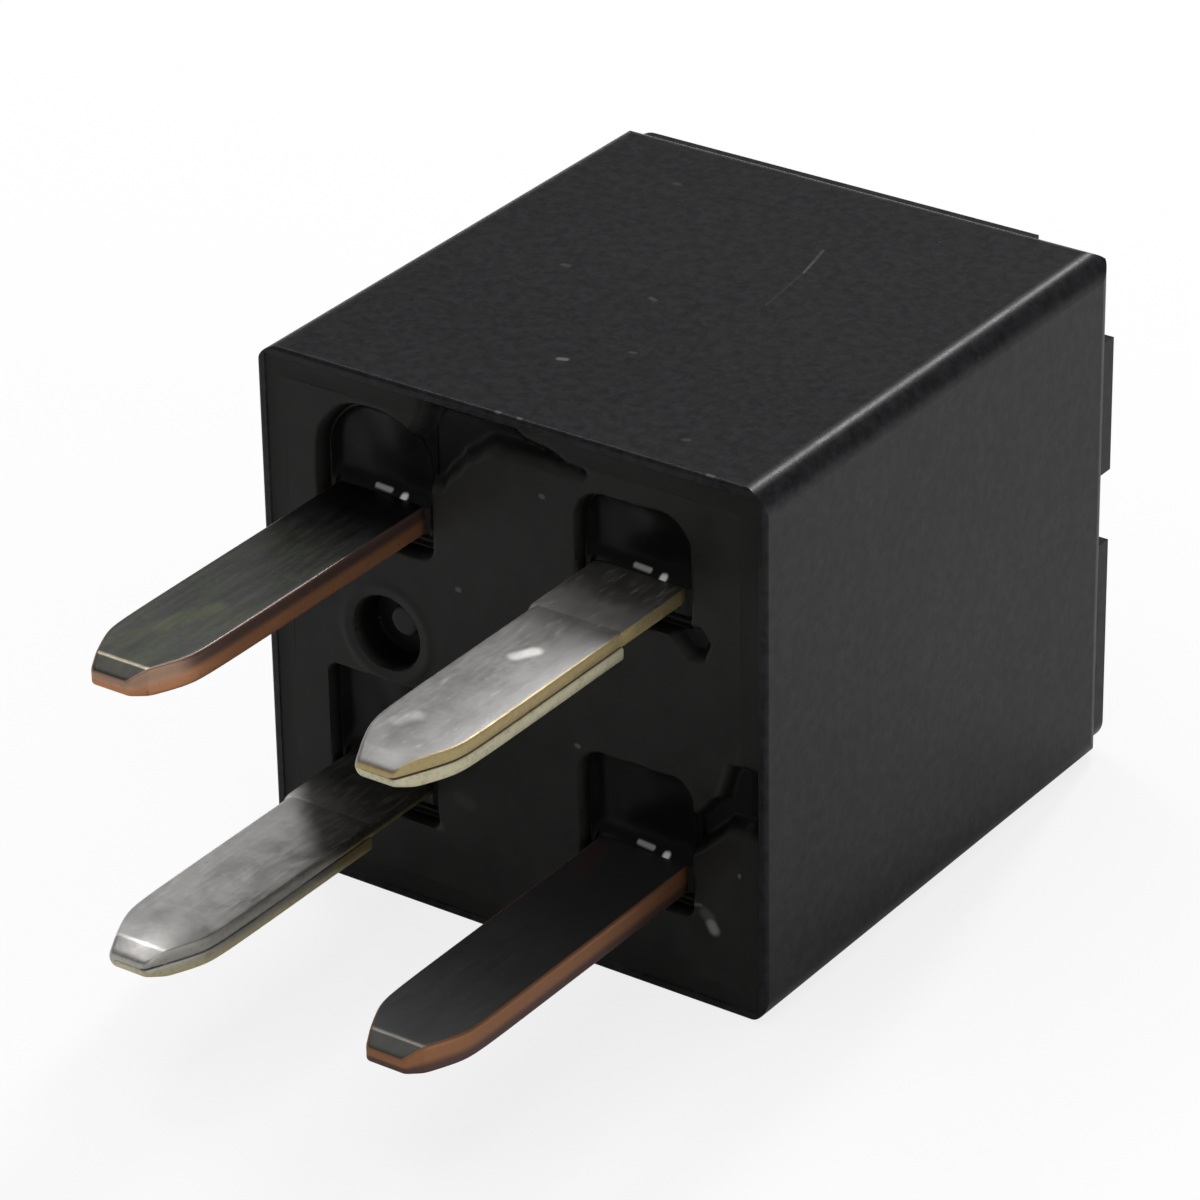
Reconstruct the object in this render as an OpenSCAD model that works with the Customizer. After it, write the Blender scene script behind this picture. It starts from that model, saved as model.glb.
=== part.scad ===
// Sealed four-blade automotive relay, lying on one long side of its cover.
// The blades point along -Y, the closed end of the cover along +Y, and +Z is up.
// Origin: the middle of the seating face, where the blades leave the base.

/* [Cover] */
// Width of the cover along X
cover_w = 15.8; // [15.4:0.1:18]
// Height of the cover along Z as the relay lies
cover_h = 15.4; // [15.3:0.1:18]
// Length of the cover from its mouth to its plain end face
cover_len = 16.8; // [16.6:0.1:20]
// Thickness of the four side walls
cover_wall = 0.75; // [0.65:0.05:0.85]
// Thickness of the end wall
end_wall = 0.8; // [0.6:0.05:1]
// Radius of the four long edges
long_edge_r = 0.7; // [0.3:0.05:0.8]
// Radius of the edges round the closed end
end_edge_r = 0.55; // [0.2:0.05:0.7]
// Radius of the outer edge round the mouth
mouth_edge_r = 0.12; // [0.05:0.01:0.2]
// Width of the bevel inside the mouth, which the sealant fills
mouth_bevel = 0.5; // [0.3:0.05:0.55]
// Depth of the bevel inside the mouth
mouth_bevel_depth = 0.7; // [0.4:0.05:1]
// Height of the raised panel on the end face
panel_rise = 0.3; // [0.1:0.05:0.6]
// Distance from the panel's sides in to the sides of the cover
panel_inset = 0.12; // [0.06:0.02:0.3]
// Distance from the panel's upper and lower edges in to the top and bottom of the cover
panel_end_inset = 0.26; // [0.06:0.02:0.4]
// Side of the square left out of the panel's upper right corner
panel_corner_cut = 2.4; // [1:0.1:4]
// Height of the notch in the middle of each upright side of the panel
panel_notch_h = 2.15; // [1:0.05:4]
// Depth of that notch
panel_notch_d = 1.4; // [0.8:0.1:3]

/* [Base] */
// Thickness of the base plate
base_t = 2.2; // [2:0.1:2.6]
// Gap between the base and the inside of the cover on each side
base_gap = 0.05; // [0.03:0.01:0.1]
// Gap round each metal strip in its slot through the base
slot_gap = 0.03; // [0.02:0.01:0.06]
// Depth of the wells round the blades
well_depth = 1.1; // [0.6:0.1:1.4]
// Room between a blade and the side walls of its well
well_side = 0.25; // [0.15:0.05:0.35]
// Room in a well below its blade
well_drop = 0.35; // [0.2:0.05:0.5]
// Distance from the top of the common blade's well to the edge of the base
well_rim_common = 0.35; // [0.3:0.05:1]
// Distance from the top of the first coil blade's well to the edge of the base
well_rim_coil_a = 0.75; // [0.3:0.05:1.2]
// Room above the second coil blade in its well
well_rise_coil_b = 2.7; // [1.5:0.1:2.8]
// Room above the contact blade in its well
well_rise_contact = 2.6; // [1.5:0.1:2.8]
// Corner radius of the common blade's well
well_r_common = 1.5; // [0.4:0.1:1.6]
// Corner radius of the first coil blade's well
well_r_coil_a = 0.8; // [0.2:0.1:1.5]
// Corner radius of the second coil blade's well
well_r_coil_b = 0.25; // [0.15:0.05:1.5]
// Corner radius of the contact blade's well
well_r_contact = 0.6; // [0.2:0.1:1.5]
// Depth of the shallow runs that lead the sealant to the wells
run_depth = 0.45; // [0.2:0.05:0.8]
// Radius of the vent recess
vent_r = 1.0; // [0.7:0.05:1.1]
// Depth of the vent recess
vent_depth = 0.9; // [0.5:0.1:1.2]
// Radius of the breathing hole behind the recess
vent_hole_r = 0.35; // [0.2:0.05:0.4]
// Radius of the melted nib that closes the breathing hole
nib_r = 0.46; // [0.4:0.02:0.5]

/* [Sealant] */
// How far the sealant lies below the face in the bevel of the mouth
ring_sink = 0.04; // [0.02:0.01:0.1]
// How far the sealant lies below the face in the wells
well_sink = 0.7; // [0.3:0.05:0.9]

/* [Blades] */
// Spacing of the blades along X
pitch_x = 8.1; // [8:0.05:8.3]
// Spacing of the blades along Z
pitch_z = 8.1; // [8:0.05:8.2]
// Place of the blade pattern's middle along X
pattern_x = -0.2; // [-0.3:0.05:0]
// Place of the blade pattern's middle along Z
pattern_z = -0.3; // [-0.4:0.05:-0.2]
// Width of each blade
blade_w = 2.8; // [2.6:0.05:2.9]
// Thickness of each blade
blade_t = 0.8; // [0.7:0.02:0.84]
// Length of each blade in front of the seating face
blade_len = 10.85; // [7:0.05:14]
// Width of the flat end of each tip
tip_w = 1.2; // [0.6:0.1:2]
// Length over which the sides of the tip run in
tip_taper = 1.6; // [0.5:0.1:2]
// Length of the bevels on the flat sides of the tip
tip_bevel = 0.55; // [0.2:0.05:1]
// Depth of those bevels
tip_bevel_depth = 0.18; // [0.1:0.02:0.32]
// Width of the seam between the two layers of a folded coil blade
fold_seam = 0.04; // [0.02:0.01:0.08]
// Distance from the seating face to the end of the folded under layer
fold_start = 2.4; // [0.6:0.1:3]

/* [Magnet] */
// Room between the yoke's long arm and the inside of the cover
yoke_room = 0.6; // [0.55:0.05:0.8]
// Room between the back stop and the cover's end wall
end_room = 0.55; // [0.3:0.05:1]
// Radius of the iron core
core_r = 1.9; // [1.5:0.05:2]
// Radius of the core's riveted foot
core_foot_r = 1.3; // [0.8:0.05:1.4]
// Radius of the core's pole face
pole_r = 3.4; // [2.6:0.1:3.6]
// Thickness of the pole face
pole_t = 0.65; // [0.4:0.05:1]
// Outer radius of the bobbin's tube
tube_r = 2.5; // [2.3:0.05:2.8]
// Gap between the bobbin's flange and the shelf of the contact blade
shelf_gap = 0.15; // [0.1:0.01:0.3]
// Thickness of the bobbin's flanges
flange_t = 0.7; // [0.5:0.05:0.9]
// How far the flanges stand out over the copper winding
winding_rim = 0.45; // [0.3:0.05:1]
// Thickness of the tape round the winding
tape_t = 0.1; // [0.05:0.01:0.12]
// Thickness of the yoke's iron
yoke_t = 1.2; // [1:0.05:1.25]
// How far the bobbin's flange stands out past each side of the yoke's long arm
yoke_side = 0.25; // [0.1:0.05:0.8]
// Width of the yoke's foot between the blades
yoke_foot_w = 4; // [3:0.1:4.4]
// Gap between the bobbin and the yoke's long arm
yoke_gap = 0.15; // [0.1:0.01:0.2]
// Thickness of the armature
armature_t = 1; // [0.8:0.05:1.2]
// Width of the armature
armature_w = 8; // [5:0.1:9]
// Angle between the resting armature and the pole face
open_angle = 3; // [2:0.1:3.5]
// Gap left over the pole face and under the moving contact when the armature is pulled in
closed_gap = 0.05; // [0.03:0.01:0.08]

/* [Contacts] */
// Radius of both contact heads
contact_r = 1.05; // [0.8:0.05:1.1]
// Height of the fixed contact's head
fixed_head = 0.6; // [0.4:0.05:0.8]
// Height of the moving contact's head under its spring
moving_head = 0.7; // [0.5:0.05:0.9]
// Radius of the contacts' shanks
shank_r = 0.55; // [0.4:0.05:0.7]
// Height of the riveted end above the spring
rivet_rise = 0.3; // [0.15:0.05:0.4]
// Thickness of the leaf spring
spring_t = 0.15; // [0.1:0.01:0.2]
// Width of the leaf spring
spring_w = 4.4; // [3:0.1:5]
// Radius inside the bend of the leaf spring
spring_bend_r = 0.5; // [0.3:0.05:0.8]
// Thickness of the back stop's strip
stop_t = 0.5; // [0.4:0.05:0.6]
// Width of the back stop's strip
stop_w = 2.6; // [1.5:0.1:2.8]
// Gap between the resting spring and the back stop
stop_gap = 0.05; // [0.03:0.01:0.1]
// Radius of the spring's rivets
rivet_r = 0.45; // [0.3:0.05:0.5]
// Radius of the heads of the spring's rivets
rivet_head_r = 0.75; // [0.6:0.05:0.9]
// Height of the heads of the spring's rivets
rivet_head = 0.28; // [0.15:0.01:0.3]
// Diameter of the enamelled coil wire
wire_d = 0.24; // [0.15:0.01:0.3]

/* [Hidden] */

fine = 96;
wire_sides = 24;
over = 0.2;
fit_gap = 0.02;
join = 0.1;

// Cover and base outlines
cavity_w = cover_w - 2 * cover_wall;
cavity_h = cover_h - 2 * cover_wall;
cavity_len = cover_len - end_wall;
base_w = cavity_w - 2 * base_gap;
base_h = cavity_h - 2 * base_gap;
mouth_w = cavity_w + 2 * mouth_bevel;
mouth_h = cavity_h + 2 * mouth_bevel;

// Blade places
left_x = pattern_x - pitch_x / 2;
right_x = pattern_x + pitch_x / 2;
upper_z = pattern_z + pitch_z / 2;
lower_z = pattern_z - pitch_z / 2;
sheet_t = (blade_t - fold_seam) / 2;
strip_t = blade_t / 2;

// Heights, from the cover's two long sides to the coil between them
side_gap = 0.2;
arm_low_z = -cavity_h / 2 + side_gap;
arm_z = arm_low_z + blade_t / 2;
contact_z = arm_low_z + contact_r;
shelf_top_z = contact_z + contact_r;
yoke_out_z = cavity_h / 2 - yoke_room;
yoke_in_z = yoke_out_z - yoke_t;
tab_z = yoke_in_z - blade_t / 2;
flange_top_z = yoke_in_z - yoke_gap;
flange_low_z = shelf_top_z + shelf_gap;
flange_r = (flange_top_z - flange_low_z) / 2;
coil_z = (flange_top_z + flange_low_z) / 2;
winding_r = flange_r - winding_rim;
yoke_w = 2 * (flange_r - yoke_side);
foot_end_z = coil_z - core_foot_r - yoke_t;

// Back stop over the far end of the resting leaf, and from it the place of the hinge
lift = closed_gap + armature_t;
ear_gap = 0.15;
ear_low_z = arm_low_z + stop_t + ear_gap;
ear_w = 1.9;
ear_h = 1.2;
stop_far = yoke_out_z - ear_low_z;
stop_rise = (lift + spring_t) * cos(open_angle) + stop_far * sin(open_angle) + stop_gap;
stop_y = cavity_len - end_room - stop_t;
stop_reach = 1.9;
stop_tail = 0.8;

// Lengths along Y, from the base to the hinge and the leaf
foot_y = base_t;
coil_y = foot_y + yoke_t;
hinge_y = stop_y - stop_rise;
pole_y = hinge_y;
winding_y = coil_y + flange_t;
winding_len = pole_y - pole_t - flange_t - winding_y;
top_flange_y = winding_y + winding_len;
armature_y = hinge_y + closed_gap;
leaf_y = armature_y + armature_t;

// Contacts and the strips below the coil
moving_y = leaf_y - moving_head;
fixed_top_y = moving_y - closed_gap;
shelf_y = fixed_top_y - fixed_head - blade_t;
shelf_left_x = -contact_r - side_gap;
jog_gap = 0.05;
jog_y = base_t + jog_gap;
jog_lead = 0.6;
common_jog = 1.05;
contact_jog = 1.9;
common_tab_len = 3;

// Leaf spring: the bend's centre puts the leaf on the tilted armature's upper face, and
// bend_in_z is where that centre lies once the armature is pulled in
armature_back_gap = 0.15;
armature_end_gap = 0.25;
armature_end_z = shelf_top_z + armature_end_gap;
bend_z = yoke_out_z - spring_bend_r;
bend_y = hinge_y + (lift - spring_bend_r * (1 - sin(open_angle))) / cos(open_angle);
leg_back = 5.2;
leg_len = bend_y - hinge_y + leg_back;
leaf_end_gap = 0.1;
leaf_end_z = arm_low_z + leaf_end_gap;
bend_in_z = yoke_out_z - spring_bend_r * cos(open_angle) - (bend_y - hinge_y) * sin(open_angle);
leaf_len = bend_in_z - leaf_end_z + over;
leaf_rim = 0.2;
leaf_head_w = 2 * (contact_r + leaf_rim);
neck_gap = 0.1;
neck_z = shelf_top_z + neck_gap;
neck_len = 0.6;
yoke_rivet_back = 3.2;
yoke_rivet_y = hinge_y - yoke_rivet_back;
yoke_rivet_x = 1.3;
armature_rivet_in = 1.9;
armature_rivet_z = yoke_out_z - armature_rivet_in;
armature_rivet_x = 1.4;
stop_side_gap = 0.15;
stop_x = -leaf_head_w / 2 - stop_w / 2 - stop_side_gap;

// Coil tabs and leads
tab_w = 1.5;
tab_out = 0.25;
tab_gap = 0.09;
tab_len = 2.2;
post_w = 0.6;
post_len = 1.3;
wrap_turns = 4;
wrap_pitch = 0.9 * wire_d;
wrap_in_r = sqrt(post_w * post_w + strip_t * strip_t) / 2;
wrap_r = wrap_in_r + wire_d / 2;
wrap_y = base_t + tab_len + wire_d;
lead_y = wrap_y + wire_d / 2;
lead_reach = winding_r + tape_t + wire_d / 2;

// Supports on the inside of the base, and the vent in its face
rest_gap = 0.15;
rest_in_x = yoke_foot_w / 2 + rest_gap;
rest_w = 0.6;
rest_h = 4.4;
vent_in_x = 0.25;
vent_up_z = 0.55;
vent_x = left_x + vent_in_x;
vent_z = pattern_z + vent_up_z;
nib_in_x = 0.5;
nib_up_z = 0.45;
nib_x = vent_x + nib_in_x;
nib_z = vent_z + nib_up_z;
nib_tip_y = vent_depth / 3;

// Runs in the face: where the two load wells end, and how far in from the rim the common run lies
common_edge_x = left_x + blade_w / 2 + well_side;
contact_edge_x = right_x + blade_w / 2 + well_side;
rim_z = mouth_h / 2;
rim_x = mouth_w / 2;
run_neck = 0.35;
run_band = 0.75;
run_unit = 1;
short_r = 0.45;

// Room above the two upper blades in their wells, up to the edge of the base
blade_top_z = upper_z + blade_t / 2;
well_rise_common = base_h / 2 - well_rim_common - blade_top_z;
well_rise_coil_a = base_h / 2 - well_rim_coil_a - blade_top_z;

// ---- Shared shapes ----

// Rectangle with two corner radii: near is for the corners at the lower Y, far for the upper Y
module two_radius_rect(w, y0, y1, near, far) {
    union() {
        translate([-w / 2, y0 + near]) square([w, y1 - y0 - near - far]);
        translate([-w / 2 + near, y0]) square([w - 2 * near, near + over]);
        translate([-w / 2 + far, y1 - far - over]) square([w - 2 * far, far + over]);
        for (side = [-1, 1]) {
            translate([side * (w / 2 - near), y0 + near]) circle(r = near, $fn = fine);
            translate([side * (w / 2 - far), y1 - far]) circle(r = far, $fn = fine);
        }
    }
}

// Rectangle with round corners, centred, in the sketch plane
module round_rect(w, h, r) {
    union() {
        square([w - 2 * r, h], center = true);
        square([w, h - 2 * r], center = true);
        for (sx = [-1, 1])
            for (sy = [-1, 1])
                translate([sx * (w / 2 - r), sy * (h / 2 - r)]) circle(r = r, $fn = fine);
    }
}

// Sketch in X and Z, given thickness along Y from y0 to y1
module along_y(y0, y1) {
    translate([0, y1, 0]) rotate([90, 0, 0]) linear_extrude(y1 - y0) children();
}

// Sketch in Y and Z, given width w along X and centred on x
module along_x(x, w) {
    translate([x - w / 2, 0, 0]) rotate([90, 0, 90]) linear_extrude(w) children();
}

// Sketch in X and Y, given height h along Z and centred on z
module along_z(z, h) {
    translate([0, 0, z - h / 2]) linear_extrude(h) children();
}

// Round bar along Y
module bar_y(x, z, r, y0, y1) {
    translate([x, y1, z]) rotate([90, 0, 0]) cylinder(r = r, h = y1 - y0, $fn = fine);
}

// Round bar along Z
module bar_z(x, y, r, z0, z1) {
    translate([x, y, z0]) cylinder(r = r, h = z1 - z0, $fn = fine);
}

// Moves what is drawn with the armature pulled in to where it rests when released
module released() {
    translate([0, hinge_y, yoke_out_z]) rotate([open_angle, 0, 0])
        translate([0, -hinge_y, -yoke_out_z]) children();
}

// ---- Cover ----

module cover_outside() {
    intersection() {
        along_y(-over, cover_len + over) round_rect(cover_w, cover_h, long_edge_r);
        along_z(0, cover_h + 2 * over)
            two_radius_rect(cover_w, 0, cover_len, mouth_edge_r, end_edge_r);
        rotate([0, 90, 0]) along_z(0, cover_w + 2 * over)
            two_radius_rect(cover_h, 0, cover_len, mouth_edge_r, end_edge_r);
    }
}

// The bevelled mouth: wide at the face and as wide as the cavity at its full depth
module mouth_space() {
    intersection() {
        along_z(0, cover_h + 2 * over) polygon([[-mouth_w / 2, 0], [mouth_w / 2, 0],
            [cavity_w / 2, mouth_bevel_depth], [-cavity_w / 2, mouth_bevel_depth]]);
        along_x(0, cover_w + 2 * over) polygon([[0, -mouth_h / 2],
            [mouth_bevel_depth, -cavity_h / 2], [mouth_bevel_depth, cavity_h / 2], [0, mouth_h / 2]]);
    }
}

module end_panel() {
    panel_w = cover_w - 2 * panel_inset;
    panel_h = cover_h - 2 * panel_end_inset;
    along_y(cover_len - end_edge_r, cover_len + panel_rise) difference() {
        round_rect(panel_w, panel_h, long_edge_r);
        translate([panel_w / 2 - panel_corner_cut, panel_h / 2 - panel_corner_cut])
            square(panel_corner_cut + over);
        for (side = [-1, 1])
            translate([side * panel_w / 2, 0])
                square([2 * panel_notch_d, panel_notch_h], center = true);
    }
}

module cover() {
    color([0.13, 0.13, 0.14]) difference() {
        union() {
            cover_outside();
            end_panel();
        }
        translate([-cavity_w / 2, -over, -cavity_h / 2]) cube([cavity_w, cavity_len + over, cavity_h]);
        mouth_space();
    }
}

// ---- Base ----

// Outline of the well round a blade at x, z: its upper corners have radius r
module well_outline(x, z, rise, r) {
    w = blade_w + 2 * well_side;
    bottom = z - blade_t / 2 - well_drop;
    top = z + blade_t / 2 + rise;
    translate([x, 0]) union() {
        translate([-w / 2, bottom]) square([w, top - bottom - r]);
        translate([-w / 2 + r, top - r - over]) square([w - 2 * r, r + over]);
        for (side = [-1, 1]) translate([side * (w / 2 - r), top - r]) circle(r = r, $fn = fine);
    }
}

// Every well's outline
module well_outlines() {
    well_outline(left_x, upper_z, well_rise_common, well_r_common);
    well_outline(right_x, upper_z, well_rise_coil_a, well_r_coil_a);
    well_outline(left_x, lower_z, well_rise_coil_b, well_r_coil_b);
    well_outline(right_x, lower_z, well_rise_contact, well_r_contact);
}

// Runs in the face: from the common well to the rim, from the contact well to the side,
// and a short one below the first coil blade
module run_outlines() {
    common_run();
    contact_run();
    short_run();
}

module common_run() {
    u = run_unit;
    up = rim_z - upper_z;
    translate([common_edge_x, upper_z]) polygon([[-0.5 * u, 1.2 * u], [0.45 * u, 1.3 * u],
        [1.2 * u, 2.3 * u], [2.1 * u, up - run_band], [4.9 * u, up - run_band],
        [3.1 * u, up - run_neck], [2.1 * u, up], [0.3 * u, up], [-0.1 * u, up - 0.9 * u],
        [-0.5 * u, up - 1.5 * u]]);
}

module contact_run() {
    u = run_unit;
    out = rim_x - contact_edge_x;
    translate([contact_edge_x, lower_z]) polygon([[-0.3 * u, 0.7 * u], [0.3 * u, 1.3 * u],
        [1.1 * u, 2.1 * u], [out, 2.2 * u], [out, 4 * u], [out - 0.9 * u, 3.9 * u],
        [0.9 * u, 2.9 * u], [-0.3 * u, 1.7 * u]]);
}

module short_run() {
    u = run_unit;
    translate([contact_edge_x + 0.2 * u, upper_z - 0.9 * u]) circle(r = short_r, $fn = fine);
    translate([contact_edge_x - 0.25 * u, upper_z - 0.7 * u]) rotate([0, 0, -20])
        square([2 * short_r, short_r], center = true);
}

// Space for the parts of the terminals that pass through the base
module terminal_slots() {
    load_w = blade_w + 2 * slot_gap;
    load_t = blade_t + 2 * slot_gap;
    coil_t = strip_t + 2 * slot_gap;
    for (place = [[left_x, upper_z], [right_x, lower_z]])
        translate([place[0] - load_w / 2, -over, place[1] - load_t / 2])
            cube([load_w, base_t + 2 * over, load_t]);
    for (place = [[right_x, upper_z], [left_x, lower_z]])
        translate([place[0] - load_w / 2, -over, place[1] - slot_gap])
            cube([load_w, base_t + 2 * over, coil_t]);
}

module base() {
    color([0.11, 0.11, 0.11]) union() {
        difference() {
            union() {
                translate([-base_w / 2, 0, -base_h / 2]) cube([base_w, base_t, base_h]);
                for (side = [-1, 1])
                    translate([side * (rest_in_x + rest_w / 2), base_t + yoke_t / 2, coil_z])
                        cube([rest_w, yoke_t, rest_h], center = true);
            }
            along_y(-over, well_depth) well_outlines();
            along_y(-over, run_depth) intersection() {
                run_outlines();
                square([base_w + over, base_h + over], center = true);
            }
            terminal_slots();
            bar_y(vent_x, vent_z, vent_r, -over, vent_depth);
            bar_y(vent_x, vent_z, vent_hole_r, 0, base_t + over);
            translate([stop_x - stop_w / 2 - slot_gap, base_t - stop_tail, arm_low_z - slot_gap])
                cube([stop_w + 2 * slot_gap, stop_tail + over, stop_t + 2 * slot_gap]);
        }
        vent_nib();
    }
}

// Melted nib that leans across the vent recess and closes the breathing hole
module vent_nib() {
    translate([nib_x, nib_tip_y, nib_z]) sphere(r = nib_r, $fn = fine);
    bar_y(nib_x, nib_z, nib_r, nib_tip_y, vent_depth + join);
    bar_y(vent_x, vent_z, vent_hole_r, vent_depth, base_t - over);
}

// ---- Sealant ----

module sealant() {
    color([0.05, 0.05, 0.05]) {
        difference() {
            mouth_space();
            translate([-base_w / 2, -over, -base_h / 2])
                cube([base_w, mouth_bevel_depth + 2 * over, base_h]);
            translate([-cover_w / 2, -over, -cover_h / 2]) cube([cover_w, over + ring_sink, cover_h]);
            along_y(-over, run_depth) run_outlines();
        }
        difference() {
            along_y(well_sink, well_depth) well_outlines();
            for (place = [[left_x, upper_z], [right_x, lower_z]])
                translate([place[0], 0, place[1]])
                    cube([blade_w, 4 * well_depth, blade_t], center = true);
            for (place = [[right_x, upper_z], [left_x, lower_z]])
                translate([place[0], 0, place[1] + strip_t / 2])
                    cube([blade_w, 4 * well_depth, strip_t], center = true);
        }
    }
}

// ---- Terminals ----

// Plan of a blade in X and Y, from its tip to y1
module blade_plan(x, y1) {
    polygon([[x - tip_w / 2, -blade_len], [x + tip_w / 2, -blade_len],
        [x + blade_w / 2, -blade_len + tip_taper], [x + blade_w / 2, y1],
        [x - blade_w / 2, y1], [x - blade_w / 2, -blade_len + tip_taper]]);
}

// Side view of a blade in Y and Z, from its tip to y1
module blade_side(z, y1) {
    polygon([[-blade_len, z - blade_t / 2 + tip_bevel_depth],
        [-blade_len + tip_bevel, z - blade_t / 2], [y1, z - blade_t / 2],
        [y1, z + blade_t / 2], [-blade_len + tip_bevel, z + blade_t / 2],
        [-blade_len, z + blade_t / 2 - tip_bevel_depth]]);
}

// Solid blade with its tapered and bevelled tip
module blade(x, z, y1) {
    intersection() {
        along_z(z, blade_t + 2 * over) blade_plan(x, y1);
        along_x(x, blade_w + 2 * over) blade_side(z, y1);
    }
}

// Side view of a strip that steps from height z0 to z1 after the base and runs on to y1
module stepped_side(z0, z1, rise_len, y1) {
    t = blade_t / 2;
    start = jog_y - jog_lead;
    polygon([[start, z0 - t], [jog_y, z0 - t], [jog_y + rise_len, z1 - t], [y1, z1 - t],
        [y1, z1 + t], [jog_y + rise_len, z1 + t], [jog_y, z0 + t], [start, z0 + t]]);
}

module terminal_common() {
    color([0.72, 0.42, 0.28]) union() {
        blade(left_x, upper_z, jog_y);
        along_x(left_x, blade_w)
            stepped_side(upper_z, tab_z, common_jog, jog_y + common_jog + common_tab_len);
    }
}

module terminal_contact() {
    color([0.72, 0.42, 0.28]) difference() {
        union() {
            blade(right_x, lower_z, jog_y);
            along_x(right_x, blade_w)
                stepped_side(lower_z, arm_z, contact_jog, shelf_y + blade_t);
            translate([shelf_left_x, shelf_y, arm_low_z])
                cube([right_x + blade_w / 2 - shelf_left_x, blade_t, shelf_top_z - arm_low_z]);
        }
        bar_y(0, contact_z, shank_r + fit_gap, shelf_y - over, shelf_y + blade_t + over);
    }
}

// Coil terminal: a blade of folded sheet whose upper layer runs on through the base
// and ends in a narrow post for the wire; side is -1 on the left and 1 on the right
module coil_terminal(x, z, side) {
    tab_x = side * tab_centre(side * x, abs(z - coil_z));
    color([0.80, 0.76, 0.66]) union() {
        difference() {
            blade(x, z, 0);
            translate([x - blade_w / 2 + sheet_t, -blade_len - over, z - fold_seam / 2])
                cube([blade_w, blade_len + 2 * over, fold_seam]);
            translate([x - blade_w, -fold_start, z - blade_t])
                cube([2 * blade_w, fold_start + over, blade_t]);
        }
        translate([x - blade_w / 2, -fold_start / 2, z])
            cube([blade_w, fold_start / 2 + base_t, strip_t]);
        translate([tab_x - tab_w / 2, base_t - over, z]) cube([tab_w, tab_len + over, strip_t]);
        translate([tab_x - post_w / 2, base_t + tab_len - over, z])
            cube([post_w, post_len + over, strip_t]);
    }
}

// Distance of a coil terminal's tab from the middle: tab_out beyond its blade's centre, or
// further out where the flange of the bobbin needs it, for a tab at height z off the coil's axis
function tab_centre(x, z) =
    max(x + tab_out, tab_w / 2 + sqrt(max(0, pow(flange_r + tab_gap, 2) - z * z)));

module terminal_coil_a() {
    coil_terminal(right_x, upper_z, 1);
}

module terminal_coil_b() {
    coil_terminal(left_x, lower_z, -1);
}

// ---- Coil ----

module core() {
    color([0.62, 0.62, 0.64]) union() {
        bar_y(0, coil_z, core_foot_r, foot_y, coil_y + over);
        bar_y(0, coil_z, core_r, coil_y, pole_y - pole_t + join);
        bar_y(0, coil_z, pole_r, pole_y - pole_t, pole_y);
    }
}

module bobbin() {
    color([0.86, 0.84, 0.76]) difference() {
        union() {
            bar_y(0, coil_z, flange_r, coil_y, winding_y);
            bar_y(0, coil_z, tube_r, coil_y, top_flange_y + flange_t);
            bar_y(0, coil_z, flange_r, top_flange_y, top_flange_y + flange_t);
        }
        bar_y(0, coil_z, core_r + fit_gap, coil_y - over, pole_y);
    }
}

module winding() {
    color([0.70, 0.36, 0.16]) difference() {
        bar_y(0, coil_z, winding_r, winding_y, top_flange_y);
        bar_y(0, coil_z, tube_r, winding_y - over, top_flange_y + over);
    }
}

module winding_tape() {
    color([0.85, 0.72, 0.30]) difference() {
        bar_y(0, coil_z, winding_r + tape_t, winding_y, top_flange_y);
        bar_y(0, coil_z, winding_r, winding_y - over, top_flange_y + over);
    }
}

// Wire end: turns wrapped round a coil terminal's post, and a run back to the winding;
// side is -1 on the left and 1 on the right, and up is 1 where the run leaves below the post
module coil_lead(x, z, side, up) {
    post_x = side * tab_centre(side * x, abs(z - coil_z));
    post_z = z + strip_t / 2;
    run_z = post_z - up * wrap_r;
    run_end_x = sqrt(pow(lead_reach, 2) - pow(run_z - coil_z, 2));
    color([0.70, 0.36, 0.16]) union() {
        for (turn = [0 : wrap_turns - 1])
            translate([post_x, wrap_y + turn * wrap_pitch, post_z]) rotate([90, 0, 0])
                rotate_extrude($fn = fine) translate([wrap_r, 0])
                    circle(d = wire_d, $fn = wire_sides);
        translate([post_x, lead_y, run_z]) rotate([0, -side * 90, 0])
            cylinder(d = wire_d, h = side * post_x - run_end_x, $fn = wire_sides);
    }
}

module coil_lead_a() {
    coil_lead(right_x, upper_z, 1, 1);
}

module coil_lead_b() {
    coil_lead(left_x, lower_z, -1, -1);
}

// ---- Yoke and armature ----

module yoke() {
    color([0.62, 0.62, 0.64]) difference() {
        union() {
            translate([-yoke_w / 2, foot_y, yoke_in_z]) cube([yoke_w, hinge_y - foot_y, yoke_t]);
            translate([-yoke_foot_w / 2, foot_y, foot_end_z])
                cube([yoke_foot_w, yoke_t, yoke_out_z - foot_end_z]);
        }
        bar_y(0, coil_z, core_foot_r + fit_gap, foot_y - over, coil_y + over);
        for (side = [-1, 1])
            bar_z(side * yoke_rivet_x, yoke_rivet_y, rivet_r + fit_gap,
                yoke_in_z - over, yoke_out_z + over);
    }
}

// Flat iron plate; its back edge is bevelled to clear the bend of the leaf spring
module armature() {
    back_z = yoke_out_z - armature_back_gap;
    bevel = spring_bend_r - armature_back_gap + closed_gap;
    color([0.66, 0.66, 0.68]) released() difference() {
        along_x(0, armature_w) polygon([[armature_y, armature_end_z], [leaf_y, armature_end_z],
            [leaf_y, back_z - bevel], [leaf_y - bevel, back_z], [armature_y, back_z]]);
        for (side = [-1, 1])
            bar_y(side * armature_rivet_x, armature_rivet_z, rivet_r + fit_gap,
                armature_y - over, leaf_y + over);
    }
}

// ---- Leaf spring, contacts and stop ----

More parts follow.
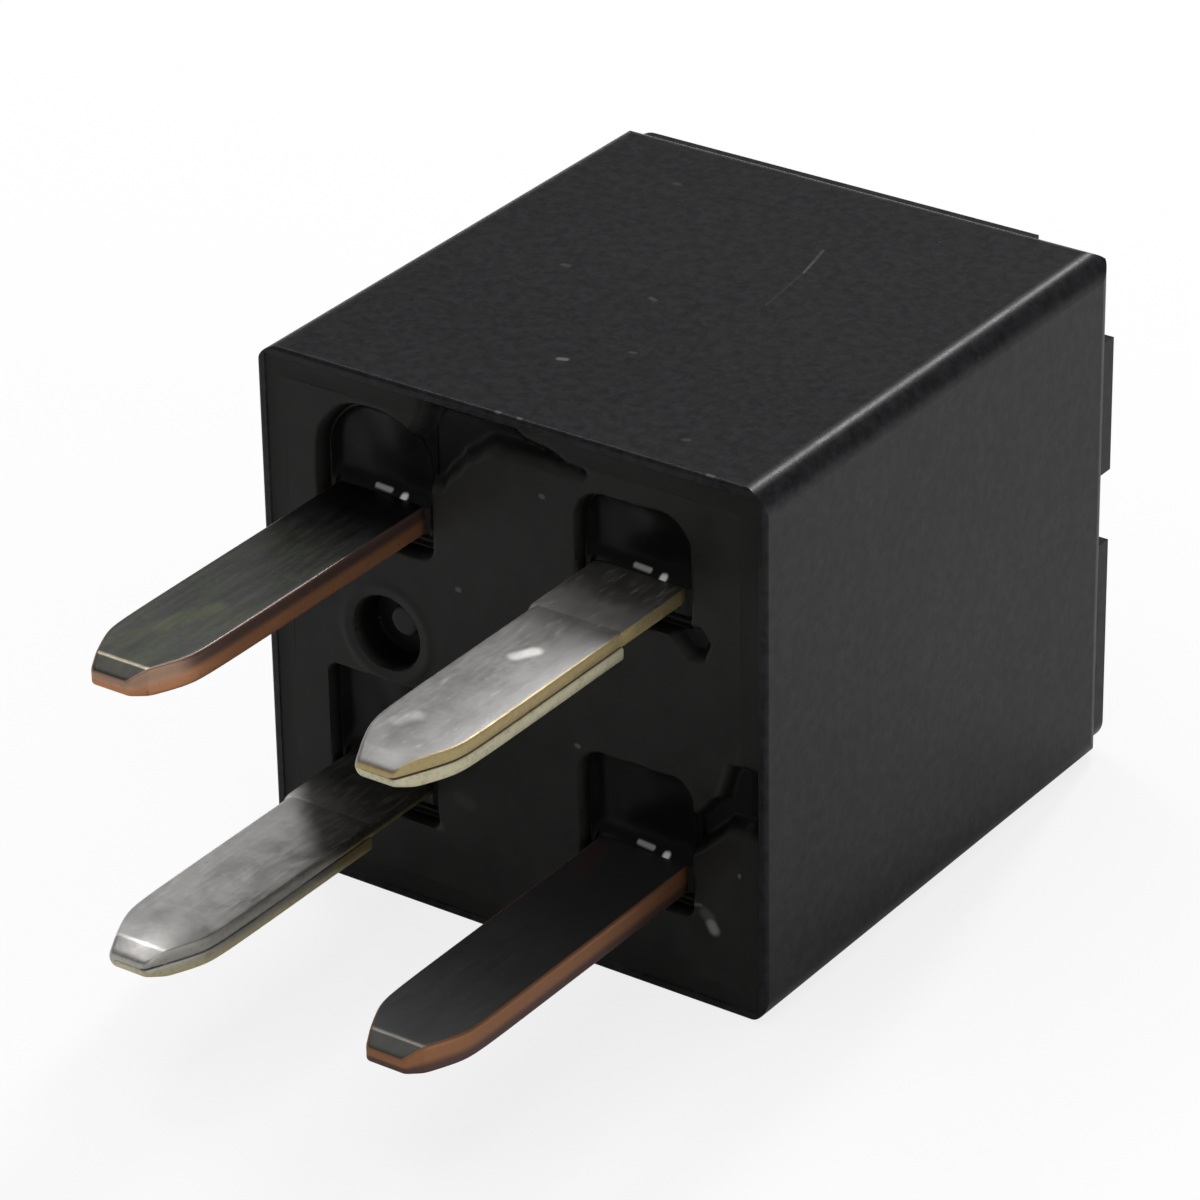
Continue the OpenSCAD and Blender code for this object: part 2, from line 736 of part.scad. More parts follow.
// Outline of the spring seen along Y: a plain strip, narrower round the contact, with an ear
// for the back stop
module leaf_plan() {
    head = leaf_head_w / 2;
    ear_x = -head - ear_w;
    top_z = yoke_out_z + 2 * spring_t + spring_bend_r;
    polygon([[-spring_w / 2, top_z], [spring_w / 2, top_z], [spring_w / 2, neck_z + neck_len],
        [head, neck_z], [head, leaf_end_z], [-head, leaf_end_z], [-head, ear_low_z],
        [ear_x, ear_low_z], [ear_x, ear_low_z + ear_h], [-spring_w / 2, neck_z + neck_len]]);
}

// Everything under the sheet's surface that bends with radius r: the leg to the left and
// the leaf down from the bend, each drawn inward by reach and longer by more
module spring_region(r, reach, more) {
    translate([bend_y, bend_z]) union() {
        circle(r = r, $fn = fine);
        translate([-leg_len - more, -reach]) square([leg_len + more, r + reach]);
        rotate([0, 0, open_angle]) translate([-reach, -leaf_len - more])
            square([r + reach, leaf_len + more]);
    }
}

// Side view of the bent sheet in Y and Z
module spring_side() {
    outer_r = spring_bend_r + spring_t;
    difference() {
        spring_region(outer_r, 0, 0);
        spring_region(spring_bend_r, outer_r + over, over);
    }
}

module contact_spring() {
    color([0.78, 0.55, 0.30]) difference() {
        intersection() {
            along_x(0, spring_w + 2 * ear_w) spring_side();
            released() along_y(bend_y - 2 * leg_len, leaf_y + leg_len) leaf_plan();
        }
        for (side = [-1, 1]) {
            bar_z(side * yoke_rivet_x, yoke_rivet_y, rivet_r + fit_gap,
                yoke_out_z - over, yoke_out_z + spring_t + over);
            released() bar_y(side * armature_rivet_x, armature_rivet_z, rivet_r + fit_gap,
                leaf_y - over, leaf_y + spring_t + over);
        }
        released() bar_y(0, contact_z, shank_r + fit_gap, leaf_y - over, leaf_y + spring_t + over);
    }
}

module moving_contact() {
    color([0.86, 0.86, 0.84]) released() union() {
        bar_y(0, contact_z, contact_r, moving_y, leaf_y);
        bar_y(0, contact_z, shank_r, leaf_y - over, leaf_y + spring_t + rivet_rise / 2);
        bar_y(0, contact_z, shank_r + leaf_rim, leaf_y + spring_t, leaf_y + spring_t + rivet_rise);
    }
}

module fixed_contact() {
    color([0.86, 0.86, 0.84]) union() {
        bar_y(0, contact_z, contact_r, shelf_y + blade_t, fixed_top_y);
        bar_y(0, contact_z, shank_r, shelf_y, shelf_y + blade_t + over);
    }
}

module back_stop() {
    color([0.66, 0.66, 0.68]) union() {
        translate([stop_x - stop_w / 2, base_t - stop_tail, arm_low_z])
            cube([stop_w, stop_y + stop_t - base_t + stop_tail, stop_t]);
        translate([stop_x - stop_w / 2, stop_y, arm_low_z]) cube([stop_w, stop_t, stop_reach]);
    }
}

module yoke_rivets() {
    color([0.70, 0.68, 0.62]) for (side = [-1, 1]) {
        bar_z(side * yoke_rivet_x, yoke_rivet_y, rivet_r,
            yoke_in_z, yoke_out_z + spring_t + rivet_head / 2);
        bar_z(side * yoke_rivet_x, yoke_rivet_y, rivet_head_r,
            yoke_out_z + spring_t, yoke_out_z + spring_t + rivet_head);
    }
}

module armature_rivets() {
    color([0.70, 0.68, 0.62]) released() for (side = [-1, 1]) {
        bar_y(side * armature_rivet_x, armature_rivet_z, rivet_r,
            armature_y, leaf_y + spring_t + rivet_head / 2);
        bar_y(side * armature_rivet_x, armature_rivet_z, rivet_head_r,
            leaf_y + spring_t, leaf_y + spring_t + rivet_head);
    }
}

cover();
base();
sealant();
terminal_common();
terminal_contact();
terminal_coil_a();
terminal_coil_b();
core();
bobbin();
winding();
winding_tape();
coil_lead_a();
coil_lead_b();
yoke();
armature();
contact_spring();
moving_contact();
fixed_contact();
back_stop();
yoke_rivets();
armature_rivets();
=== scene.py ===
"""Sealed four-blade automotive relay: surfaces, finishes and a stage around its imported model.

The model's frame is kept: the blades point along -Y, the closed end of the cover along +Y and
+Z is up. Lengths in the code are in millimetres and become metres when a mesh is made.
"""
import math
from types import SimpleNamespace

import bpy
import numpy as np
from bpy.props import FloatProperty, FloatVectorProperty, PointerProperty
from bpy.types import Operator, Panel, PropertyGroup
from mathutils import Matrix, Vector


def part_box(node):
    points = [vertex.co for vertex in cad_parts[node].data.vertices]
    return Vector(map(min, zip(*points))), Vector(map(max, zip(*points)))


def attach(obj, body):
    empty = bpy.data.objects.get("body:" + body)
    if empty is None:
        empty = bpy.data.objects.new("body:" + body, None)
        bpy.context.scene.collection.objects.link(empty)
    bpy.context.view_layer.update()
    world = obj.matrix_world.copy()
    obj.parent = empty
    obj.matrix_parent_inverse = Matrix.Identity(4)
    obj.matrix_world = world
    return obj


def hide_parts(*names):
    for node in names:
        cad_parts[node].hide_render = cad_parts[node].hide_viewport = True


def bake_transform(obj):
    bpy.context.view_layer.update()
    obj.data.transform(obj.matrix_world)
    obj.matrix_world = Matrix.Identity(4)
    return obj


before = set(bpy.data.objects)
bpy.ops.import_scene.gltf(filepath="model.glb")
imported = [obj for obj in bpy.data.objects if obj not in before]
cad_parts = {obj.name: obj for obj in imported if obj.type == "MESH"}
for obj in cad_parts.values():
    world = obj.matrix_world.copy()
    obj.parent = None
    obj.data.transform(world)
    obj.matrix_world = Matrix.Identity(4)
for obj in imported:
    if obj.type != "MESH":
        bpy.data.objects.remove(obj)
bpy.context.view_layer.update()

bl_info = {
    "name": "Automotive Relay",
    "version": (1, 0, 0),
    "blender": (4, 5, 0),
    "location": "3D View > Sidebar > Relay",
    "description": "Builds the finished surfaces of a sealed four-blade relay",
    "category": "Object",
}

MM = 0.001
TAU = 2 * math.pi
HOUSING = "housing"


def box_mm(node):
    """Lowest and highest corner of a CAD node, in millimetres."""
    low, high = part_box(node)
    return np.array(low) / MM, np.array(high) / MM


COVER_LOW = box_mm("cover")[0]
BASE_LOW, BASE_HIGH = box_mm("base")
RING_LOW, RING_HIGH = box_mm("sealant")
COMMON_LOW, COMMON_HIGH = box_mm("terminal_common")
CONTACT_LOW, CONTACT_HIGH = box_mm("terminal_contact")
COIL_A_LOW, COIL_A_HIGH = box_mm("terminal_coil_a")
COIL_B_LOW, COIL_B_HIGH = box_mm("terminal_coil_b")
SPRING_LOW = box_mm("contact_spring")[0]
YOKE_HIGH = box_mm("yoke")[1]

# Back of the base's plate: its rests stand 1.2 mm further
PLATE_BACK = BASE_HIGH[1] - 1.2


# ---------------------------------------------------------------- sizes and colours


def length(name, description, millimetres):
    """A length, given in millimetres and kept in metres, as a property of the size group."""
    return FloatProperty(name=name, description=description, default=millimetres * MM, min=0.0,
                         soft_max=4 * millimetres * MM, precision=5, subtype="DISTANCE")


def colour(name, description, default):
    """A linear colour, as a property of the colour group."""
    return FloatVectorProperty(name=name, description=description, default=default, size=3,
                               subtype="COLOR", min=0.0, max=1.0)


class RelaySizes(PropertyGroup):
    """Sizes of the relay's finished surfaces."""

    blade_width: length("Blade Width", "Width of each blade", 2.8)
    blade_thickness: length("Blade Thickness", "Thickness of each blade", 0.8)
    blade_edge: length("Blade Edge", "Rounding of a blade's long edges", 0.09)
    tip_width: length("Tip Width", "Width of a blade's flat end", 1.2)
    tip_taper: length("Tip Taper", "Length over which a blade's sides run in", 1.6)
    tip_bevel: length("Tip Bevel", "Length of the bevels on a tip's flat sides", 0.55)
    tip_bevel_depth: length("Tip Bevel Depth", "Depth of those bevels", 0.18)
    fold_seam: length("Fold Seam", "Gap between a folded blade's layers", 0.012)
    fold_start: length("Fold Start", "Distance from the face to the under layer", 2.4)
    well_depth: length("Well Depth", "Depth of the wells round the blades", 1.1)
    run_depth: length("Run Depth", "Depth of the runs in the face", 0.45)
    epoxy_sink: length("Epoxy Sink", "How far the epoxy lies below the face", 0.7)
    epoxy_climb: length("Epoxy Climb", "How far the epoxy climbs at a wall or blade", 0.32)
    vent_radius: length("Vent Radius", "Radius of the vent recess", 1.0)
    vent_depth: length("Vent Depth", "Depth of the vent recess", 0.9)
    spring_thickness: length("Spring Thickness", "Thickness of the leaf spring", 0.15)


class RelayColours(PropertyGroup):
    """Colours of the relay's materials, linear."""

    cover: colour("Cover", "Moulded cover", (0.0085, 0.0081, 0.0098))
    base: colour("Base", "Moulded base", (0.0112, 0.0112, 0.0104))
    epoxy: colour("Epoxy", "Poured epoxy", (0.0030, 0.0028, 0.0027))
    tin: colour("Tin", "Tin plating on the coil blades", (0.56, 0.545, 0.53))
    dark_tin: colour("Tarnished Tin", "Plating on the load blades", (0.100, 0.104, 0.098))
    copper: colour("Copper", "Bare cut edges of the load blades", (0.44, 0.205, 0.10))
    brass: colour("Brass", "Bare cut edges of the coil blades", (0.38, 0.30, 0.15))
    dust: colour("Dust", "Specks and scuffs", (0.30, 0.30, 0.29))
    floor: colour("Floor", "Floor under the relay", (0.80, 0.80, 0.80))


def sizes():
    """The scene's sizes as plain numbers in millimetres."""
    group = bpy.context.scene.relay_sizes
    return SimpleNamespace(**{key: getattr(group, key) / MM for key in RelaySizes.__annotations__})


def colours():
    """The colour group of the scene."""
    return bpy.context.scene.relay_colours


# ---------------------------------------------------------------- surfaces


def smooth(t):
    """Smooth step: 0 below 0, 1 above 1 and t * t * (3 - 2 * t) between."""
    t = np.clip(t, 0.0, 1.0)
    return t * t * (3.0 - 2.0 * t)


def ripple(a, b, seed):
    """Gentle unevenness, about -1 to 1: three crossed sine waves with unlike periods."""
    return (np.sin(1.9 * a + 0.7 * b + seed) + np.sin(-1.1 * a + 2.3 * b + 2.1 * seed)
            + np.sin(3.1 * a + 1.7 * b + 0.6 * seed)) / 3.0


def outward(verts, faces):
    """Faces turned so that the closed solid's volume, summed over fans, is positive."""
    volume = 0.0
    for face in faces:
        face = np.asarray(face)
        first = verts[face[..., 0]]
        for k in range(1, face.shape[-1] - 1):
            volume += np.sum(first * np.cross(verts[face[..., k]], verts[face[..., k + 1]]))
    return faces if volume > 0 else [np.asarray(face)[..., ::-1] for face in faces]


def loft(rings, wrap=False):
    """A tube through rings of points: point j of ring i joins its neighbours j + 1 and i + 1.

    rings has the shape (rings, points, 3). The ends are closed with flat faces, or the last
    ring joins the first where wrap is true."""
    count, points, _ = rings.shape
    i, j = np.meshgrid(np.arange(count if wrap else count - 1), np.arange(points), indexing="ij")
    k, after = (i + 1) % count, (j + 1) % points
    quads = np.stack([i * points + j, i * points + after, k * points + after, k * points + j], -1)
    faces = [quads.reshape(-1, 4)]
    if not wrap:
        faces += [np.arange(points)[None, ::-1], (count - 1) * points + np.arange(points)[None, :]]
    verts = rings.reshape(-1, 3)
    return verts, outward(verts, faces)


def slab(front, back_y):
    """A closed solid under a relief: front is a grid (rows, columns, 3) of points seen from -Y.

    Its border is carried straight to the plane y = back_y and closed there with one face."""
    rows, columns, _ = front.shape
    index = np.arange(rows * columns).reshape(rows, columns)
    quads = np.stack([index[:-1, :-1], index[:-1, 1:], index[1:, 1:], index[1:, :-1]], -1)
    border = np.concatenate([index[0, :-1], index[:-1, -1], index[-1, :0:-1], index[:0:-1, 0]])
    verts = front.reshape(-1, 3)
    rim = verts[border].copy()
    rim[:, 1] = back_y
    back = len(verts) + np.arange(len(border))
    skirt = np.stack([border, np.roll(border, -1), np.roll(back, -1), back], -1)[:, ::-1]
    verts = np.concatenate([verts, rim])
    return verts, outward(verts, [quads.reshape(-1, 4), skirt, back[None, :]])


def block(low, high):
    """A closed box between two corners."""
    (x0, y0, z0), (x1, y1, z1) = low, high
    ring = np.array([[x0, 0, z0], [x1, 0, z0], [x1, 0, z1], [x0, 0, z1]], float)
    rings = np.stack([ring, ring])
    rings[0, :, 1], rings[1, :, 1] = y0, y1
    return loft(rings)


def round_rect(width, height, radius, steps=5, support=0.07):
    """Outline of a rectangle with round corners, anticlockwise, centred on 0, shape (n, 2).

    Each corner is a quarter circle with one more point on the flats before and after it."""
    turn = np.linspace(0.0, math.pi / 2, steps)
    outline = []
    for k, (sx, sy) in enumerate(((1, 1), (-1, 1), (-1, -1), (1, -1))):
        centre = np.array([sx * (width / 2 - radius), sy * (height / 2 - radius)])
        spin = turn + k * math.pi / 2
        arc = centre + radius * np.stack([np.cos(spin), np.sin(spin)], -1)
        before = min(support, 0.4 * (width if k % 2 else height) - 0.8 * radius)
        after = min(support, 0.4 * (height if k % 2 else width) - 0.8 * radius)
        lead = arc[0] - before * np.array([-math.sin(spin[0]), math.cos(spin[0])])
        trail = arc[-1] + after * np.array([-math.sin(spin[-1]), math.cos(spin[-1])])
        outline.append(np.concatenate([lead[None], arc, trail[None]]))
    return np.concatenate(outline)


def make_piece(name, solids, values=None, crease=38.0):
    """A mesh object from closed solids in millimetres, with point values as attributes."""
    verts = np.concatenate([verts for verts, _ in solids])
    corners, totals, base = [], [], 0
    for points, faces in solids:
        for face in faces:
            face = np.asarray(face)
            corners.append((face + base).ravel())
            totals.append(np.full(len(face), face.shape[-1]))
        base += len(points)
    corners, totals = np.concatenate(corners), np.concatenate(totals)
    mesh = bpy.data.meshes.new(name)
    mesh.vertices.add(len(verts))
    mesh.vertices.foreach_set("co", (verts * MM).astype(np.float32).ravel())
    mesh.loops.add(len(corners))
    mesh.loops.foreach_set("vertex_index", corners.astype(np.int32))
    mesh.polygons.add(len(totals))
    starts = np.concatenate([[0], np.cumsum(totals)[:-1]])
    mesh.polygons.foreach_set("loop_start", starts.astype(np.int32))
    mesh.polygons.foreach_set("use_smooth", np.ones(len(totals), bool))
    mesh.update(calc_edges=True)
    if mesh.validate():
        raise RuntimeError(f"{name}: the mesh had faces that don't hold")
    mesh.set_sharp_from_angle(angle=math.radians(crease))
    for key, data in (values or {}).items():
        layer = mesh.attributes.new(key, "FLOAT", "POINT")
        layer.data.foreach_set("value", np.asarray(data, np.float32))
    piece = bpy.data.objects.new(name, mesh)
    bpy.context.scene.collection.objects.link(piece)
    return piece


def place(piece, body, slot, material, *nodes):
    """The piece rides on a body, stands for CAD nodes and gets its material."""
    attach(piece, body)
    if nodes:
        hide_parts(*nodes)
    piece.data.materials.append(material)


# ---------------------------------------------------------------- the face of the base


def rect_distance(x, z, centre_x, centre_z, half_w, half_h, radius):
    """Signed distance to a rectangle with round corners, negative inside."""
    dx = np.abs(x - centre_x) - half_w + radius
    dz = np.abs(z - centre_z) - half_h + radius
    outside = np.hypot(np.maximum(dx, 0.0), np.maximum(dz, 0.0))
    return outside + np.minimum(np.maximum(dx, dz), 0.0) - radius


def outline_distance(x, z, outline):
    """Signed distance to a closed outline, negative inside: the least distance to its sides,
    with the sign from how often a ray along +X crosses them."""
    best = np.full(x.shape, 1e9)
    inside = np.zeros(x.shape, bool)
    for (ax, az), (bx, bz) in zip(outline, outline[1:] + outline[:1]):
        ex, ez = bx - ax, bz - az
        t = np.clip(((x - ax) * ex + (z - az) * ez) / (ex * ex + ez * ez), 0.0, 1.0)
        best = np.minimum(best, np.hypot(x - ax - t * ex, z - az - t * ez))
        if ez:
            inside ^= ((az > z) != (bz > z)) & (x < ax + (z - az) * ex / ez)
    return np.where(inside, -best, best)


def blade_places():
    """Each blade's centre in X and Z, by name."""
    half = sizes().blade_thickness / 2
    return {
        "common": ((COMMON_LOW[0] + COMMON_HIGH[0]) / 2, COMMON_LOW[2] + half),
        "coil_a": ((COIL_A_LOW[0] + COIL_A_HIGH[0]) / 2, (COIL_A_LOW[2] + COIL_A_HIGH[2]) / 2),
        "coil_b": ((COIL_B_LOW[0] + COIL_B_HIGH[0]) / 2, (COIL_B_LOW[2] + COIL_B_HIGH[2]) / 2),
        "contact": (CONTACT_HIGH[0] - sizes().blade_width / 2, CONTACT_HIGH[2] - half),
    }


# Each well: room above its blade, corner radius and softness of its wall, in millimetres
WELLS = {
    "common": (2.4, 1.45, 0.42),
    "coil_a": (2.0, 0.75, 0.24),
    "coil_b": (2.7, 0.28, 0.18),
    "contact": (2.6, 0.60, 0.26),
}
WELL_SIDE = 0.25
WELL_DROP = 0.35


def well_distance(name, x, z):
    """Signed distance to a well's outline, whose lower corners are nearly square."""
    centre_x, centre_z = blade_places()[name]
    rise, radius, _ = WELLS[name]
    half = sizes().blade_thickness / 2
    top, bottom = centre_z + half + rise, centre_z - half - WELL_DROP
    half_w = sizes().blade_width / 2 + WELL_SIDE
    middle = (top + bottom) / 2
    upper = rect_distance(x, z, centre_x, middle, half_w, (top - bottom) / 2, radius)
    lower = rect_distance(x, z, centre_x, middle, half_w, (top - bottom) / 2, 0.12)
    return np.where(z > middle, upper, lower)


def run_outlines():
    """Outlines of the three runs in the face, in X and Z."""
    places = blade_places()
    side = sizes().blade_width / 2 + WELL_SIDE
    edge, upper = places["common"][0] + side, places["common"][1]
    rim_x, rim_z = RING_HIGH[0], RING_HIGH[2]
    common = [(edge - 0.5, upper + 1.2), (edge + 0.45, upper + 1.3), (edge + 1.2, upper + 2.3),
              (edge + 2.1, rim_z - 0.75), (edge + 4.9, rim_z - 0.75), (edge + 3.1, rim_z - 0.35),
              (edge + 2.1, rim_z + 0.3), (edge + 0.3, rim_z + 0.3), (edge - 0.1, rim_z - 0.9),
              (edge - 0.5, rim_z - 1.5)]
    edge, lower = places["contact"][0] + side, places["contact"][1]
    contact = [(edge - 0.3, lower + 0.7), (edge + 0.3, lower + 1.3), (edge + 1.1, lower + 2.1),
               (rim_x + 0.3, lower + 2.2), (rim_x + 0.3, lower + 4.0), (rim_x - 0.9, lower + 3.9),
               (edge + 0.9, lower + 2.9), (edge - 0.3, lower + 1.7)]
    upper = places["coil_a"][1]
    short = [(edge - 0.7, upper - 0.65), (edge - 0.2, upper - 0.60), (edge + 0.35, upper - 0.50),
             (edge + 0.62, upper - 0.85), (edge + 0.45, upper - 1.25), (edge + 0.05, upper - 1.30),
             (edge - 0.25, upper - 1.0)]
    return common, contact, short


def run_fall(x, z):
    """How far the runs lower the face: each falls smoothly over its soft side."""
    wander = 0.05 * ripple(2.2 * x, 2.2 * z, 1.3)
    fall = np.zeros(x.shape)
    for outline, depth, soft in zip(run_outlines(), (1.0, 1.15, 0.8), (0.50, 0.34, 0.26)):
        reach = outline_distance(x, z, outline) + wander
        fall = np.maximum(fall, sizes().run_depth * depth * smooth(0.5 - reach / soft))
    return fall


def vent_place():
    """Centre of the vent recess in X and Z."""
    places = blade_places()
    middle = (places["common"][1] + places["coil_b"][1]) / 2
    return places["common"][0] + 0.25, middle + 0.55


def face_fall(x, z):
    """Depth of the base's face at each point: the deepest of its wells, runs and vent.

    A well falls by its full depth over its wall's width; the vent is a cylinder with a melted
    nib in it; a low boss stands round the vent; and the whole face is very slightly uneven."""
    size = sizes()
    wander = 0.035 * ripple(1.7 * x, 1.7 * z, 0.4)
    fall = run_fall(x, z)
    for name, (_, _, soft) in WELLS.items():
        reach = well_distance(name, x, z) + wander
        fall = np.maximum(fall, size.well_depth * smooth(0.5 - reach / (soft * 1.15)))
    vent_x, vent_z = vent_place()
    away = np.hypot(x - vent_x, z - vent_z)
    vent_wall, nib_x, nib_z, nib_radius = 0.16, 0.5, 0.45, 0.30
    recess = size.vent_depth * smooth(0.5 - (away - size.vent_radius) / vent_wall)
    nib = np.hypot(x - vent_x - nib_x, z - vent_z - nib_z) - nib_radius
    nib_top = 0.10 + 0.9 * np.clip(nib, 0.0, None) ** 1.5 + 1.6 * smooth((nib - 0.12) / 0.2)
    fall = np.maximum(fall, np.minimum(recess, nib_top))
    boss_height, boss_radius, boss_width = 0.035, 1.35, 0.16
    boss = boss_height * np.exp(-((away - boss_radius) / boss_width) ** 2)
    level = 0.008 * (1.0 + ripple(0.55 * x, 0.6 * z, 2.0))
    return fall + level + boss_height - boss * smooth(1.0 - fall / 0.05)


def base_solids():
    """The base: a relief of its face on a plate, and the two rests for the yoke's foot."""
    across, up = 300, 296
    x = np.linspace(BASE_LOW[0], BASE_HIGH[0], across)
    z = np.linspace(BASE_LOW[2], BASE_HIGH[2], up)
    xx, zz = np.meshgrid(x, z, indexing="ij")
    front = np.stack([xx, face_fall(xx, zz), zz], -1)
    rest_x, rest_half, rest_low, rest_high = 2.45, 0.3, -1.95, 2.45
    rests = [block((side * rest_x - rest_half, PLATE_BACK - 0.1, rest_low),
                   (side * rest_x + rest_half, BASE_HIGH[1], rest_high)) for side in (-1, 1)]
    return [slab(front, PLATE_BACK)] + rests


def fill_solid(name):
    """Epoxy in one well: level at its sink, and climbing by an exponential of the distance
    to the wall and to the blade, as a wetted surface does."""
    size = sizes()
    centre_x, centre_z = blade_places()[name]
    rise, _, _ = WELLS[name]
    half = size.blade_thickness / 2
    margin = 0.14
    half_w = size.blade_width / 2 + WELL_SIDE + margin
    x = np.linspace(centre_x - half_w, centre_x + half_w, 90)
    z = np.linspace(centre_z - half - WELL_DROP - margin, centre_z + half + rise + margin, 96)
    xx, zz = np.meshgrid(x, z, indexing="ij")
    wall = np.maximum(-well_distance(name, xx, zz), 0.0)
    blade = rect_distance(xx, zz, centre_x, centre_z, size.blade_width / 2, half, 0.05)
    blade = np.maximum(blade, 0.0)
    wall_reach, blade_reach, wall_share = 0.16, 0.20, 0.75
    climb = wall_share * np.exp(-wall / wall_reach) + np.exp(-blade / blade_reach)
    seed = centre_x + 2 * centre_z
    level = (size.epoxy_sink - size.epoxy_climb * climb
             + 0.03 * ripple(1.6 * xx, 1.6 * zz, seed))
    front = np.stack([xx, level, zz], -1)
    return slab(front, size.well_depth + 0.05)


def ring_solid():
    """Epoxy in the mouth's bevel: a hollowed band carried round a rectangle, lower where the
    runs reach it and slightly uneven along its length."""
    outer_w, outer_h = RING_HIGH[0] - RING_LOW[0], RING_HIGH[2] - RING_LOW[2]
    inner_w, inner_h = BASE_HIGH[0] - BASE_LOW[0], BASE_HIGH[2] - BASE_LOW[2]
    centre = (RING_LOW + RING_HIGH) / 2
    band = np.array([0.0, 0.12, 0.3, 0.5, 0.7, 0.88, 1.0])
    per_side = 130
    ahead = np.linspace(0.0, 1.0, per_side, endpoint=False)

    def outline(width, height):
        """Points round a rectangle, as many on each side."""
        corners = np.array([[1, -1], [1, 1], [-1, 1], [-1, -1]]) * np.array([width, height]) / 2
        following = np.roll(corners, -1, axis=0)
        path = corners[:, None, :] + (following - corners)[:, None, :] * ahead[None, :, None]
        return path.reshape(-1, 2)

    outer = outline(outer_w + 0.02, outer_h + 0.02)
    inner = outline(inner_w - 0.04, inner_h - 0.04)
    points = outer[:, None, :] + (inner - outer)[:, None, :] * band[None, :, None]
    x, z = points[..., 0] + centre[0], points[..., 1] + centre[2]
    hollow = 0.02 * np.sin(math.pi * band)[None, :]
    level = 0.042 + hollow * (1.0 + 0.5 * ripple(0.9 * x, 0.9 * z, 0.9)) + run_fall(x, z)
    section = np.stack([x, level, z], -1)
    low = section[:, [-1, 0], :].copy()
    inner_depth = 0.66
    low[:, 0, 1] = inner_depth
    low[:, 1, 1] = np.maximum(low[:, 1, 1] + 0.03, 0.1)
    return loft(np.concatenate([section, low], 1), wrap=True)


# ---------------------------------------------------------------- terminals


def blade_stations(root_y):
    """Places along a blade from its tip to root_y, closer together where its shape changes."""
    size = sizes()
    nose = np.array([0.0, 0.015, 0.04, 0.08, 0.14, 0.22])
    bevel = size.tip_bevel + np.array([-0.30, -0.16, -0.08, -0.04, 0.0, 0.04, 0.08, 0.16])
    taper = size.tip_taper + np.array([-0.60, -0.45, -0.32, -0.22, -0.12, -0.04, 0.06, 0.2, 0.4])
    far = np.linspace(size.tip_taper + 0.8, root_y - COMMON_LOW[1], 22)
    return COMMON_LOW[1] + np.concatenate([nose, bevel, taper, far])


def soft_least(a, b, blend):
    """The lesser of two values, rounded where they meet."""
    return 0.5 * (a + b - np.sqrt((a - b) ** 2 + blend * blend))


def blade_shape(y):
    """Half width and half thickness of a blade at each place along it.

    The half width grows in a straight line from the flat end to the full width; the half
    thickness does the same over the bevel; and both turn in round the very end."""
    size = sizes()
    ahead = y - COMMON_LOW[1]
    taper = size.tip_width + (size.blade_width - size.tip_width) * ahead / size.tip_taper
    half_w = soft_least(taper / 2, size.blade_width / 2, 0.22)
    slope = size.tip_bevel_depth / size.tip_bevel
    bevel = size.blade_thickness / 2 - size.tip_bevel_depth + slope * ahead
    half_t = soft_least(bevel, size.blade_thickness / 2, 0.04)
    nose = np.sqrt(np.clip(1.0 - (1.0 - np.clip(ahead / 0.12, 0, 1)) ** 2, 0.0, 1.0))
    return half_w - 0.10 * (1.0 - nose), half_t - 0.07 * (1.0 - nose)


def carried(section, y, z, tilt=None):
    """Rings of a flat section (rings, points, 2), each set at y and z and leaned by tilt."""
    tilt = np.zeros_like(y) if tilt is None else tilt
    lean_y = -np.sin(tilt)[:, None] * section[..., 1]
    lean_z = np.cos(tilt)[:, None] * section[..., 1]
    return np.stack([section[..., 0], y[:, None] + lean_y, z[:, None] + lean_z], -1)


def edge_values(rings, y, centre_z, half_t, half_w, centre_x, radius, folded=False):
    """Point values of a strip: how much a point is on a cut side, and its height across the
    side from -1 to 1. A sheet folded over at its left has no cut there."""
    x = rings[..., 0] - centre_x
    z = rings[..., 2] - centre_z[:, None]
    cut = smooth((np.abs(x) - half_w[:, None] + radius) / (0.6 * radius))
    if folded:
        cut = np.where(x < 0, 0.0, cut)
    nose = smooth(1.0 - (y - COMMON_LOW[1]) / 0.05)[:, None]
    height = np.clip(z / half_t[:, None], -1.0, 1.0)
    return np.maximum(cut, nose).ravel(), height.ravel()


def solid_strip(centre_x, y, z, half_w, half_t, tilt=None):
    """A strip with rounded edges through the places y, z, with its point values."""
    edge = sizes().blade_edge
    section = np.stack([round_rect(2 * w, 2 * t, min(edge, 0.6 * t), 5)
                        for w, t in zip(half_w, half_t)])
    section[..., 0] += centre_x
    rings = carried(section, y, z, tilt)
    return loft(rings), edge_values(rings, y, z, half_t, half_w, centre_x, edge)


def gather(parts):
    """Solids and joined point values of a list of (solid, values)."""
    solids = [solid for solid, _ in parts]
    cut = np.concatenate([values[0] for _, values in parts])
    height = np.concatenate([values[1] for _, values in parts])
    return solids, {"cut": cut, "height": height}


def stepped_path(start_y, start_z, end_z, step, end_y):
    """Places of a strip's middle beyond the base: a rounded step from one height to another."""
    y = np.concatenate([np.linspace(start_y, start_y + step, 14), [end_y - 0.05, end_y]])
    z = start_z + (end_z - start_z) * smooth((y - start_y) / step)
    return y, z


